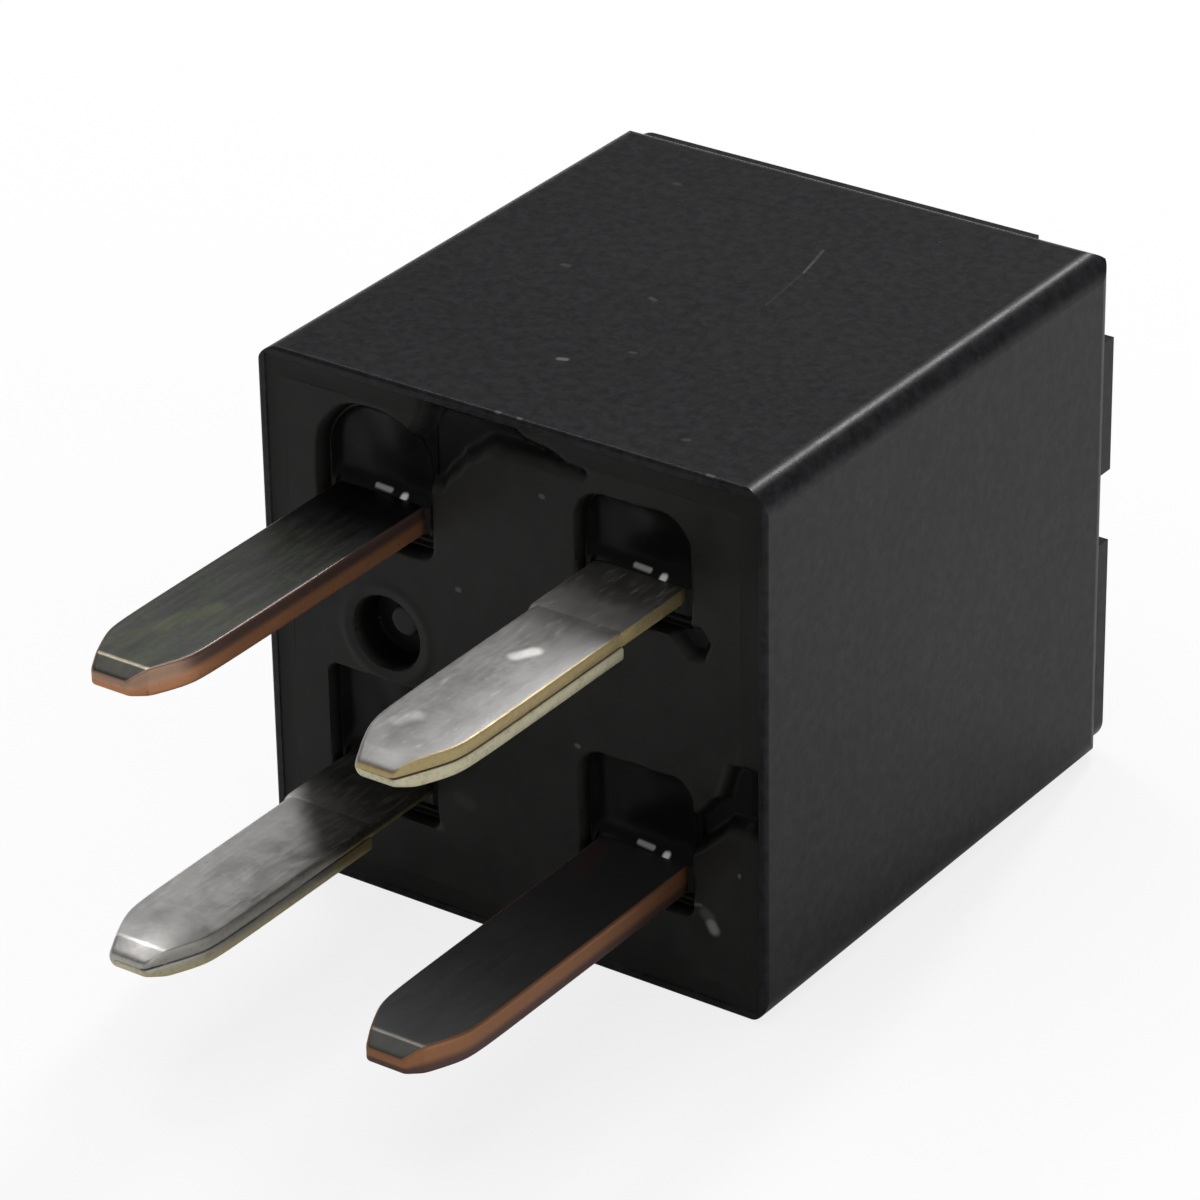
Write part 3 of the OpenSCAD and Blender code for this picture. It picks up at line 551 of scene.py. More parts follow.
def load_terminal_parts(centre_x, blade_z, end_z, step, end_y):
    """A load terminal: the blade, its step beyond the base and the strip that follows."""
    size = sizes()
    y = blade_stations(PLATE_BACK)
    half_w, half_t = blade_shape(y)
    more_y, more_z = stepped_path(PLATE_BACK + 0.05, blade_z, end_z, step, end_y)
    y = np.concatenate([y, more_y])
    z = np.concatenate([np.full(len(half_w), blade_z), more_z])
    half_w = np.concatenate([half_w, np.full(len(more_y), size.blade_width / 2)])
    half_t = np.concatenate([half_t, np.full(len(more_y), size.blade_thickness / 2)])
    slope = np.gradient(z, y)
    return solid_strip(centre_x, y, z, half_w, half_t, np.arctan(slope))


def holed_plate(low, high, centre_x, centre_z, radius):
    """A plate with a round hole along Y: its outline, the hole and back, carried in a ring."""
    corner_x, corner_z = np.meshgrid((low[0], high[0]), (low[2], high[2]))
    corner_turns = np.arctan2(corner_z - centre_z, corner_x - centre_x).ravel()
    even_turns = np.linspace(-math.pi, math.pi, 44, endpoint=False)
    turns = np.sort(np.concatenate([even_turns, corner_turns]))
    c, s = np.cos(turns), np.sin(turns)
    with np.errstate(divide="ignore"):
        reach_x = np.where(c > 0, (high[0] - centre_x) / c, (low[0] - centre_x) / c)
        reach_z = np.where(s > 0, (high[2] - centre_z) / s, (low[2] - centre_z) / s)
    reach = np.minimum(np.abs(reach_x), np.abs(reach_z))
    rings = []
    for far, y in ((reach, low[1]), (radius, low[1]), (radius, high[1]), (reach, high[1])):
        rings.append(np.stack([centre_x + far * c, np.full_like(c, y), centre_z + far * s], -1))
    return loft(np.stack(rings), wrap=True)


def folded_section(half_w, half_t, seam, edge):
    """Outline of sheet folded over at its left side, open to the right, in X and Z.

    It runs along the upper layer's top, round the fold, along the lower layer's underside and
    back through the seam."""
    turn = np.linspace(math.pi / 2, 3 * math.pi / 2, 9)
    fold_r = min(half_t, 0.20)
    fold = np.stack([-half_w + fold_r + fold_r * np.cos(turn), half_t * np.sin(turn)], -1)
    layer = half_t - seam / 2
    r = min(edge, 0.45 * layer)
    corner = r * (1.0 - math.sqrt(0.5))

    def lip(low, high):
        """Right-hand end of one layer, from its upper to its lower corner, read downward."""
        x = half_w - np.array([r, corner, 0.0, 0.0, corner, r])
        z = [high, high - corner, high - r, low + r, low + corner, low]
        return np.stack([x, z], -1)

    upper, lower = lip(seam / 2, half_t), lip(-half_t, -seam / 2)
    seam_in = -half_w + layer * 0.9
    inside = np.array([[seam_in, seam / 2], [seam_in - seam / 2, 0.0], [seam_in, -seam / 2]])
    return np.concatenate([fold, lower[::-1], inside[::-1], upper[::-1]])


def coil_terminal_parts(name, side):
    """A coil terminal: the folded blade, and its upper layer through the base to the tab and
    the post for the wire."""
    size = sizes()
    centre_x, centre_z = blade_places()[name]
    seam, half = size.fold_seam, size.blade_thickness / 2
    y = blade_stations(-size.fold_start)
    half_w, half_t = blade_shape(y)
    section = np.stack([folded_section(w, t, seam, size.blade_edge)
                        for w, t in zip(half_w, half_t)])
    section[..., 0] += centre_x
    middle = np.full_like(y, centre_z)
    rings = carried(section, y, middle)
    blade = loft(rings), edge_values(rings, y, middle, half_t, half_w, centre_x,
                                     size.blade_edge, folded=True)
    start, back, overlap, soft = -size.fold_start, PLATE_BACK, 0.02, 0.06
    post_y = (COIL_A_HIGH if name == "coil_a" else COIL_B_HIGH)[1]
    # The upper layer's stations: place along Y, width, share of the tab's shift, and pinch
    stations = np.array([(start - 0.35, 2.6, 0, 0.05), (start - 0.05, 2.78, 0, 0.012),
                         (start + 0.05, 2.8, 0, 0), (0, 2.8, 0, 0), (back - 0.02, 2.8, 0, 0),
                         (back, 1.5, 1, 0), (back + 2.2, 1.5, 1, 0), (back + 2.22, 0.6, 1, 0),
                         (post_y, 0.6, 1, 0)])
    y, width, shift, pinch = stations.T
    thin = half - seam / 2 + overlap
    section = np.stack([round_rect(w, thin - 2 * p, soft, 3) for w, p in zip(width, pinch)])
    section[..., 0] += centre_x + (shift * side * 0.25)[:, None]
    middle_z = centre_z + (half + seam / 2 - overlap) / 2
    rings = carried(section, y, np.full_like(y, middle_z))
    values = edge_values(rings, y, np.full_like(y, centre_z), np.full_like(y, half),
                         width / 2, centre_x, soft)
    return [blade, (loft(rings), values)]


# ---------------------------------------------------------------- leaf spring


def spring_rings():
    """The leaf spring: its section is carried along the yoke, round the bend and down the
    armature, with the width and middle of the real strip at each place."""
    size = sizes()
    thick = size.spring_thickness
    hinge_y, top_z = YOKE_HIGH[1], YOKE_HIGH[2]
    bend_r, lean = 0.5, math.radians(3.0)
    lift = 1.05
    bend_y = hinge_y + (lift - bend_r * (1 - math.sin(lean))) / math.cos(lean)
    bend_z = top_z - bend_r
    middle = bend_r + thick / 2
    leg_y = np.linspace(SPRING_LOW[1], bend_y, 12)
    leg = np.stack([leg_y, np.full_like(leg_y, top_z + thick / 2)], -1)
    turn = np.linspace(math.pi / 2, lean, 14)[1:]
    bend = np.stack([bend_y + middle * np.cos(turn), bend_z + middle * np.sin(turn)], -1)
    down = np.array([math.sin(lean), -math.cos(lean)])
    leaf_len = (bend[-1, 1] - SPRING_LOW[2]) / math.cos(lean) - 0.01
    tongue, ear, wide = 1.25, SPRING_LOW[0], 2.2
    # The leaf's outline downward: share of its length, left edge and right edge
    share, left, right = np.array([
        (0.2, -wide, wide), (0.5, -wide, wide), (0.74, -wide, wide), (0.765, -2.1, 2.1),
        (0.80, -1.3, 1.3), (0.81, ear, tongue), (0.9, ear, tongue), (0.905, -tongue, tongue),
        (0.985, -tongue, tongue), (1.0, -1.0, 1.0)]).T
    leaf = bend[-1] + down[None, :] * (share * leaf_len)[:, None]
    path = np.concatenate([leg, bend, leaf])
    above = len(leg) + len(bend)
    half_w = np.concatenate([np.full(above, wide), (right - left) / 2])
    centre = np.concatenate([np.zeros(above), (right + left) / 2])
    along = np.gradient(path, axis=0)
    along /= np.linalg.norm(along, axis=1)[:, None]
    normal = np.stack([-along[:, 1], along[:, 0]], -1)
    rings = []
    for k in range(len(path)):
        outline = round_rect(2 * half_w[k], thick, 0.04, 2)
        point = path[k][None, :] + normal[k][None, :] * outline[:, 1:2]
        rings.append(np.stack([outline[:, 0] + centre[k], point[:, 0], point[:, 1]], -1))
    return np.stack(rings)


# ---------------------------------------------------------------- shader maths


def arithmetic(operation, swapped=False):
    """A method that adds a Math node of this operation, with its operands in either order."""
    def method(self, other=0.0):
        a, b = (other, self) if swapped else (self, other)
        return self.shader.add("ShaderNodeMath", {0: a, 1: b}, operation=operation)
    return method


class Value:
    """A socket of a shader tree. Arithmetic on values adds Math nodes."""

    def __init__(self, shader, socket):
        self.shader = shader
        self.socket = socket

    __add__, __radd__ = arithmetic("ADD"), arithmetic("ADD", True)
    __sub__, __rsub__ = arithmetic("SUBTRACT"), arithmetic("SUBTRACT", True)
    __mul__, __rmul__ = arithmetic("MULTIPLY"), arithmetic("MULTIPLY", True)
    __truediv__, __rtruediv__ = arithmetic("DIVIDE"), arithmetic("DIVIDE", True)
    least, most = arithmetic("MINIMUM"), arithmetic("MAXIMUM")
    root, sine = arithmetic("SQRT"), arithmetic("SINE")

    def step(self, low, high):
        """Smooth step from 0 at low to 1 at high."""
        return self.shader.add("ShaderNodeMapRange", {0: self, 1: low, 2: high},
                               interpolation_type="SMOOTHSTEP")


class Shader:
    """A material and its node tree. Positions in it are in millimetres on the object."""

    def __init__(self, name, **constants):
        self.material = bpy.data.materials.new(name)
        self.material.use_nodes = True
        self.tree = self.material.node_tree
        self.surface = self.tree.nodes["Principled BSDF"]
        for socket, value in constants.items():
            self.surface.inputs[socket.replace("_", " ")].default_value = value
        place = self.add("ShaderNodeTexCoord", {}, "Object")
        self.at = self.add("ShaderNodeVectorMath", {0: place, "Scale": 1.0 / MM},
                           operation="SCALE")
        split = self.add("ShaderNodeSeparateXYZ", {0: self.at})
        self.x, self.y, self.z = (Value(self, out) for out in split.socket.node.outputs)

    def add(self, kind, sockets, out=0, **settings):
        """A node of this kind: its settings first, then the values or links of its sockets."""
        node = self.tree.nodes.new(kind)
        for key, value in settings.items():
            setattr(node, key, value)
        for key, value in sockets.items():
            self.put(node.inputs[key], value)
        return Value(self, node.outputs[out])

    def put(self, socket, value):
        """Links a value to a socket, or sets a number or colour on it."""
        if isinstance(value, Value):
            self.tree.links.new(value.socket, socket)
        elif hasattr(value, "__len__") and len(socket.default_value) == 4:
            socket.default_value = (*value[:3], 1.0)
        else:
            socket.default_value = value

    def noise(self, scale, detail=2.0, rough=0.5, twist=0.0, at=None):
        """Noise with this many features to a millimetre, about 0 to 1."""
        return self.add("ShaderNodeTexNoise", {"Vector": at or self.at, "Scale": scale,
                        "Detail": detail, "Roughness": rough, "Distortion": twist})

    def stretched(self, x, y, z):
        """The position with each axis scaled, for patterns that run one way."""
        return self.add("ShaderNodeVectorMath", {0: self.at, 1: (x, y, z)}, operation="MULTIPLY")

    def mix(self, factor, first, second):
        """Colour between first and second."""
        return self.add("ShaderNodeMix", {0: factor, 6: first, 7: second}, 2, data_type="RGBA")

    def attribute(self, name):
        """A point value of the piece."""
        return self.add("ShaderNodeAttribute", {}, "Fac", attribute_name=name)

    def line(self, a, b, start, end, half):
        """1 on a straight mark from start to end, in the plane of the two given positions,
        falling to 0 at its half width."""
        (ax, az), (bx, bz) = start, end
        ex, ez = bx - ax, bz - az
        t = (((a - ax) * ex + (b - az) * ez) / (ex * ex + ez * ez)).most(0.0).least(1.0)
        dx, dz = a - ax - t * ex, b - az - t * ez
        return (dx * dx + dz * dz).root().step(half, half * 0.25)

    def bump(self, height, depth):
        """Feeds the normal from a height between 0 and 1 that stands for depth millimetres."""
        normal = self.add("ShaderNodeBump", {"Strength": 1.0, "Distance": depth * MM,
                          "Height": height})
        self.put(self.surface.inputs["Normal"], normal)

    def finish(self, **inputs):
        """Feeds the surface's named sockets and returns the material."""
        for key, value in inputs.items():
            self.put(self.surface.inputs[key.replace("_", " ")], value)
        return self.material


def marks(shader, a, b, gate, listed):
    """The strongest of a list of marks (start, end, half width, strength) in a plane."""
    total = None
    for start, end, half, strength in listed:
        mark = shader.line(a, b, start, end, half) * gate * strength
        total = mark if total is None else total.most(mark)
    return total


# ---------------------------------------------------------------- materials


def shade(tint, factor):
    """A colour made lighter or darker."""
    return tuple(min(1.0, channel * factor) for channel in tint)


def layered(shader, tone, layers):
    """A colour with others laid over it in turn, each given as its mask and its colour."""
    for mask, tint in layers:
        tone = shader.mix(mask, tone, tint)
    return tone


def dust(shader, specks, drifts, low, high):
    """Sparse fine specks, gathered in drifts; both are given in features to a millimetre."""
    drift = shader.noise(drifts, 1.0, 0.5).step(low, high)
    return shader.noise(specks, 1.0, 0.4).step(0.76, 0.84) * drift


# Scratches and rubs on the cover's upper side, and painted highlights on its front rim: start and
# end in X and Y, half width, strength
COVER_MARKS_AND_RIM_HIGHLIGHTS = [
    ((1.37, 12.67), (1.55, 11.90), 0.07, 0.10), ((1.55, 11.90), (1.70, 11.20), 0.06, 0.16),
    ((1.70, 11.20), (1.95, 9.0), 0.05, 0.04),
    ((-0.72, 3.44), (-0.56, 3.50), 0.13, 0.30), ((-0.80, 7.72), (-0.64, 7.66), 0.12, 0.10),
    ((-3.90, 8.17), (-3.78, 8.17), 0.14, 0.09), ((-4.34, 14.1), (-4.26, 14.1), 0.14, 0.07),
    ((4.55, 1.37), (4.65, 1.40), 0.12, 0.08), ((0.60, 4.75), (0.70, 4.78), 0.10, 0.09),
    # The last three marks, on the front rim, are painted highlights
    ((-0.30, 0.10), (-0.20, 0.10), 0.07, 0.22), ((0.37, 0.10), (0.45, 0.10), 0.07, 0.22),
    ((6.10, 0.10), (6.28, 0.10), 0.07, 0.22)]

# Spots and the scuff on the base's face, and a painted highlight on a well's wall: start and end in
# X and Z, half width, strength
FACE_MARKS_AND_HIGHLIGHT = [
    ((5.98, -4.95), (6.12, -5.05), 0.26, 0.10), ((6.17, -5.22), (6.25, -5.36), 0.24, 0.42),
    ((5.40, -4.85), (5.85, -4.75), 0.08, 0.14), ((-1.66, 2.23), (-1.60, 2.23), 0.10, 0.18),
    ((2.02, -1.24), (2.08, -1.24), 0.10, 0.2), ((7.05, -3.50), (7.12, -3.50), 0.10, 0.2),
    ((1.06, 5.70), (1.12, 5.70), 0.10, 0.16), ((-1.80, -4.0), (-1.45, -4.1), 0.30, 0.03),
    ((-2.70, -5.0), (-2.45, -5.1), 0.22, 0.06), ((2.30, -2.95), (2.50, -2.85), 0.20, 0.05),
    # The last mark is a painted highlight on the left wall of the upper right blade's well
    ((2.28, 5.10), (2.32, 4.10), 0.12, 0.07)]


def cover_plastic():
    """Satin moulded plastic: fine mould grain, mottled, with faint warm clouds, dust, one
    scratch and a few rubbed places on the cover's upper side, and painted highlights on its
    front rim."""
    tint = tuple(colours().cover)
    s = Shader("cover_plastic", Specular_IOR_Level=0.14)
    grain = s.noise(11.0, 3.0, 0.6)
    cloud = s.noise(1.3, 4.0, 0.62)
    broad = s.noise(0.16, 2.0, 0.5)
    mottle = s.noise(3.0, 4.0, 0.7)
    top = s.z.step(7.5, 7.66)
    # One pale mask: dust, scratches and rubs, and painted highlights on the front rim
    pale = marks(s, s.x, s.y, top, COVER_MARKS_AND_RIM_HIGHLIGHTS).most(dust(s, 5.3, 0.9, 0.45, 0.65) * 0.05)
    warm = (tint[0] * 1.2, tint[1] * 1.1, tint[2] * 0.7)
    tone = layered(s, s.mix(mottle.step(0.30, 0.70), shade(tint, 0.40), shade(tint, 1.65)), [
        (cloud.step(0.40, 0.70) * 0.4, warm), (pale, tuple(colours().dust))])
    rough = 0.36 + (grain - 0.5) * 0.10 + (cloud - 0.5) * 0.10 + (broad - 0.5) * 0.10 + pale * 0.2
    s.bump(grain * 0.7 + cloud * 0.8, 0.0035)
    return s.finish(Base_Color=tone, Roughness=rough)


def base_plastic():
    """The base's face, wetted by epoxy: satin with duller patches, dust, a pale scuff and a
    painted highlight on one well's wall, and painted shade that makes it near black down in its
    wells, runs and vent."""
    tint, recess_shade = tuple(colours().base), (0.0025, 0.0024, 0.0024)
    s = Shader("base_plastic", Specular_IOR_Level=0.12)
    grain = s.noise(9.0, 3.0, 0.6)
    cloud = s.noise(0.8, 3.0, 0.6)
    front = s.y.step(0.6, 0.2)
    # One pale mask: dust, the spots and scuff, and a painted highlight on a well's wall
    pale = marks(s, s.x, s.z, front, FACE_MARKS_AND_HIGHLIGHT).most(dust(s, 4.7, 0.7, 0.48, 0.66) * 0.06)
    # Painted shade: the face turns near black where it lies deep, in its wells, runs and vent
    tone = layered(s, s.mix(cloud.step(0.3, 0.7), shade(tint, 0.85), shade(tint, 1.25)), [
        (s.y.step(0.10, 0.40) * 0.85, recess_shade), (pale, tuple(colours().dust))])
    rough = 0.46 + (cloud - 0.5) * 0.22 + (grain - 0.5) * 0.08 + pale * 0.25
    s.bump(grain * 0.5 + cloud * 1.2, 0.003)
    return s.finish(Base_Color=tone, Roughness=rough)


def sealant_epoxy():
    """Black epoxy with very slight waves: near black where it lies deep in the wells, which is
    painted shade, toned like the base in the mouth, and with painted highlights, a streak and
    a dot, where it wets each blade."""
    s = Shader("sealant_epoxy", Specular_IOR_Level=0.10)
    wave = s.noise(1.6, 2.0, 0.5)
    # Painted shade: the epoxy is near black where it lies deep in the wells
    deep = s.y.step(0.10, 0.35)
    ring = s.mix(wave, shade(colours().base, 0.85), shade(colours().base, 1.15))
    pool = s.mix(wave, shade(colours().epoxy, 0.8), shade(colours().epoxy, 1.3))
    # Painted highlights where the epoxy wets each blade: a pale streak and a bright dot
    glints = []
    for centre_x, centre_z in blade_places().values():
        top = centre_z + sizes().blade_thickness / 2
        glints.append(((centre_x - 0.25, top + 0.12), (centre_x + 0.22, top + 0.10), 0.08, 0.30))
        glints.append(((centre_x + 0.64, top + 0.04), (centre_x + 0.70, top + 0.05), 0.12, 0.75))
    glint = marks(s, s.x, s.z, 1.0, glints)
    s.bump(wave, 0.010)
    return s.finish(Base_Color=s.mix(glint, s.mix(deep, ring, pool), (0.80, 0.80, 0.78)),
                    Roughness=0.42 - deep * 0.15 + wave * 0.08)


def nose_band(shader):
    """Two masks on a tip: a thin line where its bevel begins, and the bevel beyond the line."""
    start = COMMON_LOW[1] + sizes().tip_bevel
    line = shader.y.step(start + 0.10, start + 0.03) * shader.y.step(start - 0.06, start + 0.01)
    return line, shader.y.step(start - 0.01, start - 0.07)


def terminal_copper():
    """Copper strip with tarnished tin on its flat sides: the upper blade grey with faint
    yellow-green and violet streaks, paler outward and dark at its root, which is painted
    reflection of the pale backdrop and of the dark face; the lower one near black and lighter
    toward its tip, which is painted shade; bare copper on the cut sides, darkened by painted
    shade on the lower blade; painted shade on each tip's bevel and a painted highlight where
    the bevel begins."""
    tin, copper = tuple(colours().dark_tin), tuple(colours().copper)
    s = Shader("terminal_copper")
    cut, height = s.attribute("cut"), s.attribute("height")
    streak = s.noise(1.0, 3.0, 0.6, 0.4, s.stretched(5.0, 0.55, 3.0))
    cloud = s.noise(0.9, 3.0, 0.6, 0.3, s.stretched(1.3, 0.5, 1.0))
    fleck = s.noise(6.0, 3.0, 0.7)
    lower = s.z.step(-1.0, -2.0)
    line, slope = nose_band(s)
    along = s.y + (cloud - 0.5) * 1.6
    olive, violet, yellow_green = (0.17, 0.19, 0.115), (0.15, 0.12, 0.15), (0.21, 0.23, 0.13)
    # Two lighter yellow-green streaks on the upper blade
    light_marks = marks(s, s.x, s.y, 1 - lower, [((-4.55, -8.5), (-4.0, -6.9), 0.45, 0.50),
                                          ((-4.95, -9.7), (-4.75, -8.9), 0.35, 0.35)])
    # The upper blade paler outward and dark near its root: painted reflection of the pale backdrop
    # and of the dark face
    upper = layered(s, s.mix(along.step(-4.5, -9.5), tin, shade(tin, 1.5)), [
        (cloud.step(0.40, 0.80) * 0.6, olive), (streak.step(0.52, 0.80) * 0.5, violet),
        (light_marks, yellow_green), (along.step(-2.6, -1.6), shade(tin, 0.42))])
    # The lower blade near black, lighter toward its tip: painted shade; and a brown stain near its
    # root
    black, lit_tip, brown = (0.033, 0.031, 0.033), (0.085, 0.087, 0.088), (0.060, 0.030, 0.025)
    stain_and_shadow = marks(s, s.x, s.y, lower, [((2.75, -0.3), (3.10, -1.3), 0.45, 0.5)])
    under = layered(s, s.mix(along.step(-5.5, -9.8), black, lit_tip), [(stain_and_shadow, brown)])
    # Painted shade on each tip's bevel and a painted highlight where the bevel begins
    bevel_shade, bevel_highlight = (0.030, 0.030, 0.024), (0.62, 0.52, 0.38)
    flat = layered(s, s.mix(lower, upper, under), [
        (slope * 0.75, bevel_shade), (line * (0.75 - lower * 0.5), bevel_highlight)])
    tarnish, lower_side_shade, clean = (0.14, 0.085, 0.070), (0.020, 0.012, 0.010), (0.45, 0.29, 0.20)
    shaded = height.step(-0.15, 0.45) * (1 - lower) + height.step(0.1, -0.5) * lower
    near = s.y.step(-9.0, -9.7) * height.step(-0.5, 0.1) * (1 - lower)
    # The lower blade's cut sides are darkened by painted shade
    side = layered(s, s.mix(shaded, copper, tarnish), [
        (lower * 0.38, lower_side_shade), (near * 0.7, clean),
        (fleck.step(0.58, 0.75) * 0.6, shade(copper, 0.45))])
    tone = s.mix(cut.step(0.25, 0.75), flat, side)
    rough = 0.34 + (streak - 0.5) * 0.18 + (fleck - 0.5) * 0.12 + cut * 0.10 + slope * 0.15
    s.bump(streak * 0.6 + fleck * 0.6, 0.004)
    return s.finish(Base_Color=tone, Roughness=rough,
                    Metallic=1.0 - cut * 0.15 - lower * (1 - cut) * 0.45)


def terminal_brass():
    """Folded sheet with scuffed tin: dull grey with a white rub on the upper blade, brighter on
    the lower one, each lighter toward its left edge and the upper one darker toward its right,
    as painted light; both darker near the base, as an epoxy film with painted shade on the
    upper blade and the painted shadow of the upper blade on the lower one; painted shade on the
    lower tip's bevel and a painted highlight where it begins; brass on the upper layer's cut
    edge and cream below it, and greyer sides on the lower blade, with painted shadow near its
    root."""
    tin, brass = tuple(colours().tin), tuple(colours().brass)
    s = Shader("terminal_brass")
    cut, height = s.attribute("cut"), s.attribute("height")
    scuff = s.noise(1.0, 4.0, 0.65, 0.3, s.stretched(7.0, 1.3, 4.0))
    patch = s.noise(1.1, 3.0, 0.6, 0.2)
    fleck = s.noise(7.0, 2.0, 0.6)
    lower = s.z.step(-1.0, -2.0)
    line, slope = nose_band(s)
    wander = (patch - 0.5) * 1.4
    # Painted light across the blades: the upper one lighter toward its left edge and darker toward
    # its right, the lower one lighter toward its left edge
    dull = layered(s, s.mix(patch.step(0.30, 0.72), shade(tin, 0.46), shade(tin, 0.57)), [
        (s.x.step(3.7, 2.9) * 0.6, shade(tin, 0.80)), (s.x.step(4.1, 4.8) * 0.5, shade(tin, 0.34))])
    bright = layered(s, s.mix(patch.step(0.30, 0.70), shade(tin, 0.90), shade(tin, 1.22)), [
        (s.x.step(-4.5, -5.1) * 0.5, shade(tin, 1.5))])
    pale, white, root_film_and_shadow, bevel_highlight = ((0.70, 0.68, 0.66), (0.85, 0.85, 0.82),
                                     (0.060, 0.058, 0.052), (0.90, 0.88, 0.84))
    light_marks = marks(s, s.x, s.y, 1 - lower, [((3.72, -4.85), (3.98, -4.40), 0.30, 0.9),
                                          ((3.25, -9.0), (3.45, -8.6), 0.35, 0.3)])
    # Darker near the base: on the upper blade an epoxy film with painted shade, on the lower one
    # the painted shadow of the upper blade
    stain_and_shadow = ((s.y + wander).step(-4.0, -1.5) * (1 - lower) * 0.70
             + (s.x + s.y + wander * 0.6).step(-8.1, -7.0) * lower * 0.93)
    # On the lower blade: painted shade on the tip's bevel and a painted highlight where it begins
    flat = layered(s, s.mix(lower, dull, bright), [
        (scuff.step(0.60, 0.74) * 0.22, pale), (fleck.step(0.66, 0.78) * 0.35, shade(tin, 0.35)),
        (light_marks, white), (stain_and_shadow, root_film_and_shadow), (slope * lower * 0.5, shade(tin, 0.4)),
        (line * lower * 0.8, bevel_highlight)])
    # The cut sides: brass over cream on the upper blade; grey on the lower, and near its root
    # painted shadow above a gold stripe
    cream, grey, ochre = (0.50, 0.47, 0.33), (0.36, 0.35, 0.32), (0.46, 0.41, 0.25)
    root_side_shadow, gold_root = (0.060, 0.058, 0.050), (0.30, 0.25, 0.12)
    outer = s.mix(height.step(-0.2, -0.6), grey, ochre)
    root = s.mix(height.step(0.45, 0.15), root_side_shadow, gold_root)
    side = layered(s, s.mix(height.step(0.05, -0.05), brass, cream), [
        (lower, s.mix(s.y.step(-4.4, -3.5), outer, root)),
        (fleck.step(0.5, 0.7) * 0.35, shade(brass, 0.6))])
    tone = s.mix(cut.step(0.25, 0.75), flat, side)
    rough = 0.48 + (patch - 0.5) * 0.22 + (scuff - 0.5) * 0.2 - lower * 0.08
    s.bump(scuff * 0.8 + fleck * 0.4, 0.005)
    return s.finish(Base_Color=tone, Roughness=rough,
                    Metallic=0.92 - scuff.step(0.5, 0.75) * 0.3)


def plated_metal(name, tone, rough, grain_scale, streaks=(1.0, 1.0, 1.0)):
    """Plain sheet or turned metal: streaked along one axis, with a slightly uneven gloss."""
    s = Shader(name, Metallic=1.0)
    grain = s.noise(grain_scale, 3.0, 0.6, 0.0, s.stretched(*streaks))
    cloud = s.noise(0.9, 2.0, 0.5)
    tint = s.mix(cloud, shade(tone, 0.82), shade(tone, 1.12))
    s.bump(grain, 0.003)
    return s.finish(Base_Color=tint, Roughness=rough + (grain - 0.5) * 0.2)


def bobbin_plastic():
    """Natural moulded plastic of the bobbin."""
    s = Shader("bobbin_plastic")
    cloud = s.noise(0.8, 3.0, 0.5)
    s.bump(s.noise(8.0, 2.0, 0.5), 0.003)
    return s.finish(Base_Color=s.mix(cloud, (0.62, 0.58, 0.44), (0.74, 0.70, 0.56)),
                    Roughness=0.42 + cloud * 0.1)


def winding_copper():
    """Enamelled wire: ridges of fine turns along the coil's axis."""
    s = Shader("winding_copper", Metallic=1.0)
    ridge = (s.y * (TAU / 0.11)).sine() * 0.5 + 0.5
    cloud = s.noise(1.2, 2.0, 0.5)
    s.bump(ridge, 0.02)
    return s.finish(Base_Color=s.mix(cloud, (0.46, 0.15, 0.05), (0.58, 0.24, 0.09)),
                    Roughness=0.30 + cloud * 0.1)


def winding_tape():
    """Amber tape wound over the coil."""
    s = Shader("winding_tape", Coat_Weight=0.3)
    cloud = s.noise(0.7, 2.0, 0.5)
    s.bump((s.y * (TAU / 0.11)).sine() * 0.3 + cloud, 0.008)
    return s.finish(Base_Color=s.mix(cloud, (0.55, 0.36, 0.06), (0.66, 0.48, 0.11)),
                    Roughness=0.22 + cloud * 0.1)


# Finish of each hidden metal slot: colour, roughness, grain scale and streak direction
METALS = {
    "magnet_iron": ((0.44, 0.44, 0.45), 0.42, 3.0, (1.0, 0.3, 1.0)),
    "spring_bronze": ((0.52, 0.31, 0.13), 0.30, 4.0, (4.0, 0.4, 0.4)),
    "contact_silver": ((0.74, 0.73, 0.71), 0.28, 5.0, (1.0, 1.0, 1.0)),
    "stop_steel": ((0.48, 0.48, 0.48), 0.36, 3.0, (3.0, 0.4, 3.0)),
    "rivet_steel": ((0.52, 0.51, 0.50), 0.32, 5.0, (1.0, 1.0, 1.0)),
}
PLAIN = {"bobbin_plastic": bobbin_plastic, "winding_copper": winding_copper,
         "winding_tape": winding_tape}


def set_material(piece, material):
    """One material on a whole object."""
    piece.data.materials.clear()
    piece.data.materials.append(material)


def dress(nodes, slot):
    """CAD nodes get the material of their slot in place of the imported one."""
    material = PLAIN[slot]() if slot in PLAIN else plated_metal(slot, *METALS[slot])
    for node in nodes:
        set_material(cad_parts[node], material)


# ---------------------------------------------------------------- operators


class RELAY_OT_cover(Operator):
    """Finish the moulded cover"""

    bl_idname = "relay.cover"
    bl_label = "Cover"

    def execute(self, context):
        set_material(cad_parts["cover"], cover_plastic())
        return {"FINISHED"}


class RELAY_OT_base(Operator):
    """Build the base with its wells, runs and vent"""

    bl_idname = "relay.base"
    bl_label = "Base"

    def execute(self, context):
        piece = make_piece("moulded_base", base_solids(), crease=60.0)
        place(piece, HOUSING, "base_plastic", base_plastic(), "base")
        return {"FINISHED"}


class RELAY_OT_sealant(Operator):
    """Pour the epoxy into the mouth and the wells"""

    bl_idname = "relay.sealant"
    bl_label = "Epoxy"

    def execute(self, context):
        solids = [ring_solid()] + [fill_solid(name) for name in WELLS]
        piece = make_piece("epoxy_fill", solids, crease=60.0)
        place(piece, HOUSING, "sealant_epoxy", sealant_epoxy(), "sealant")
        return {"FINISHED"}


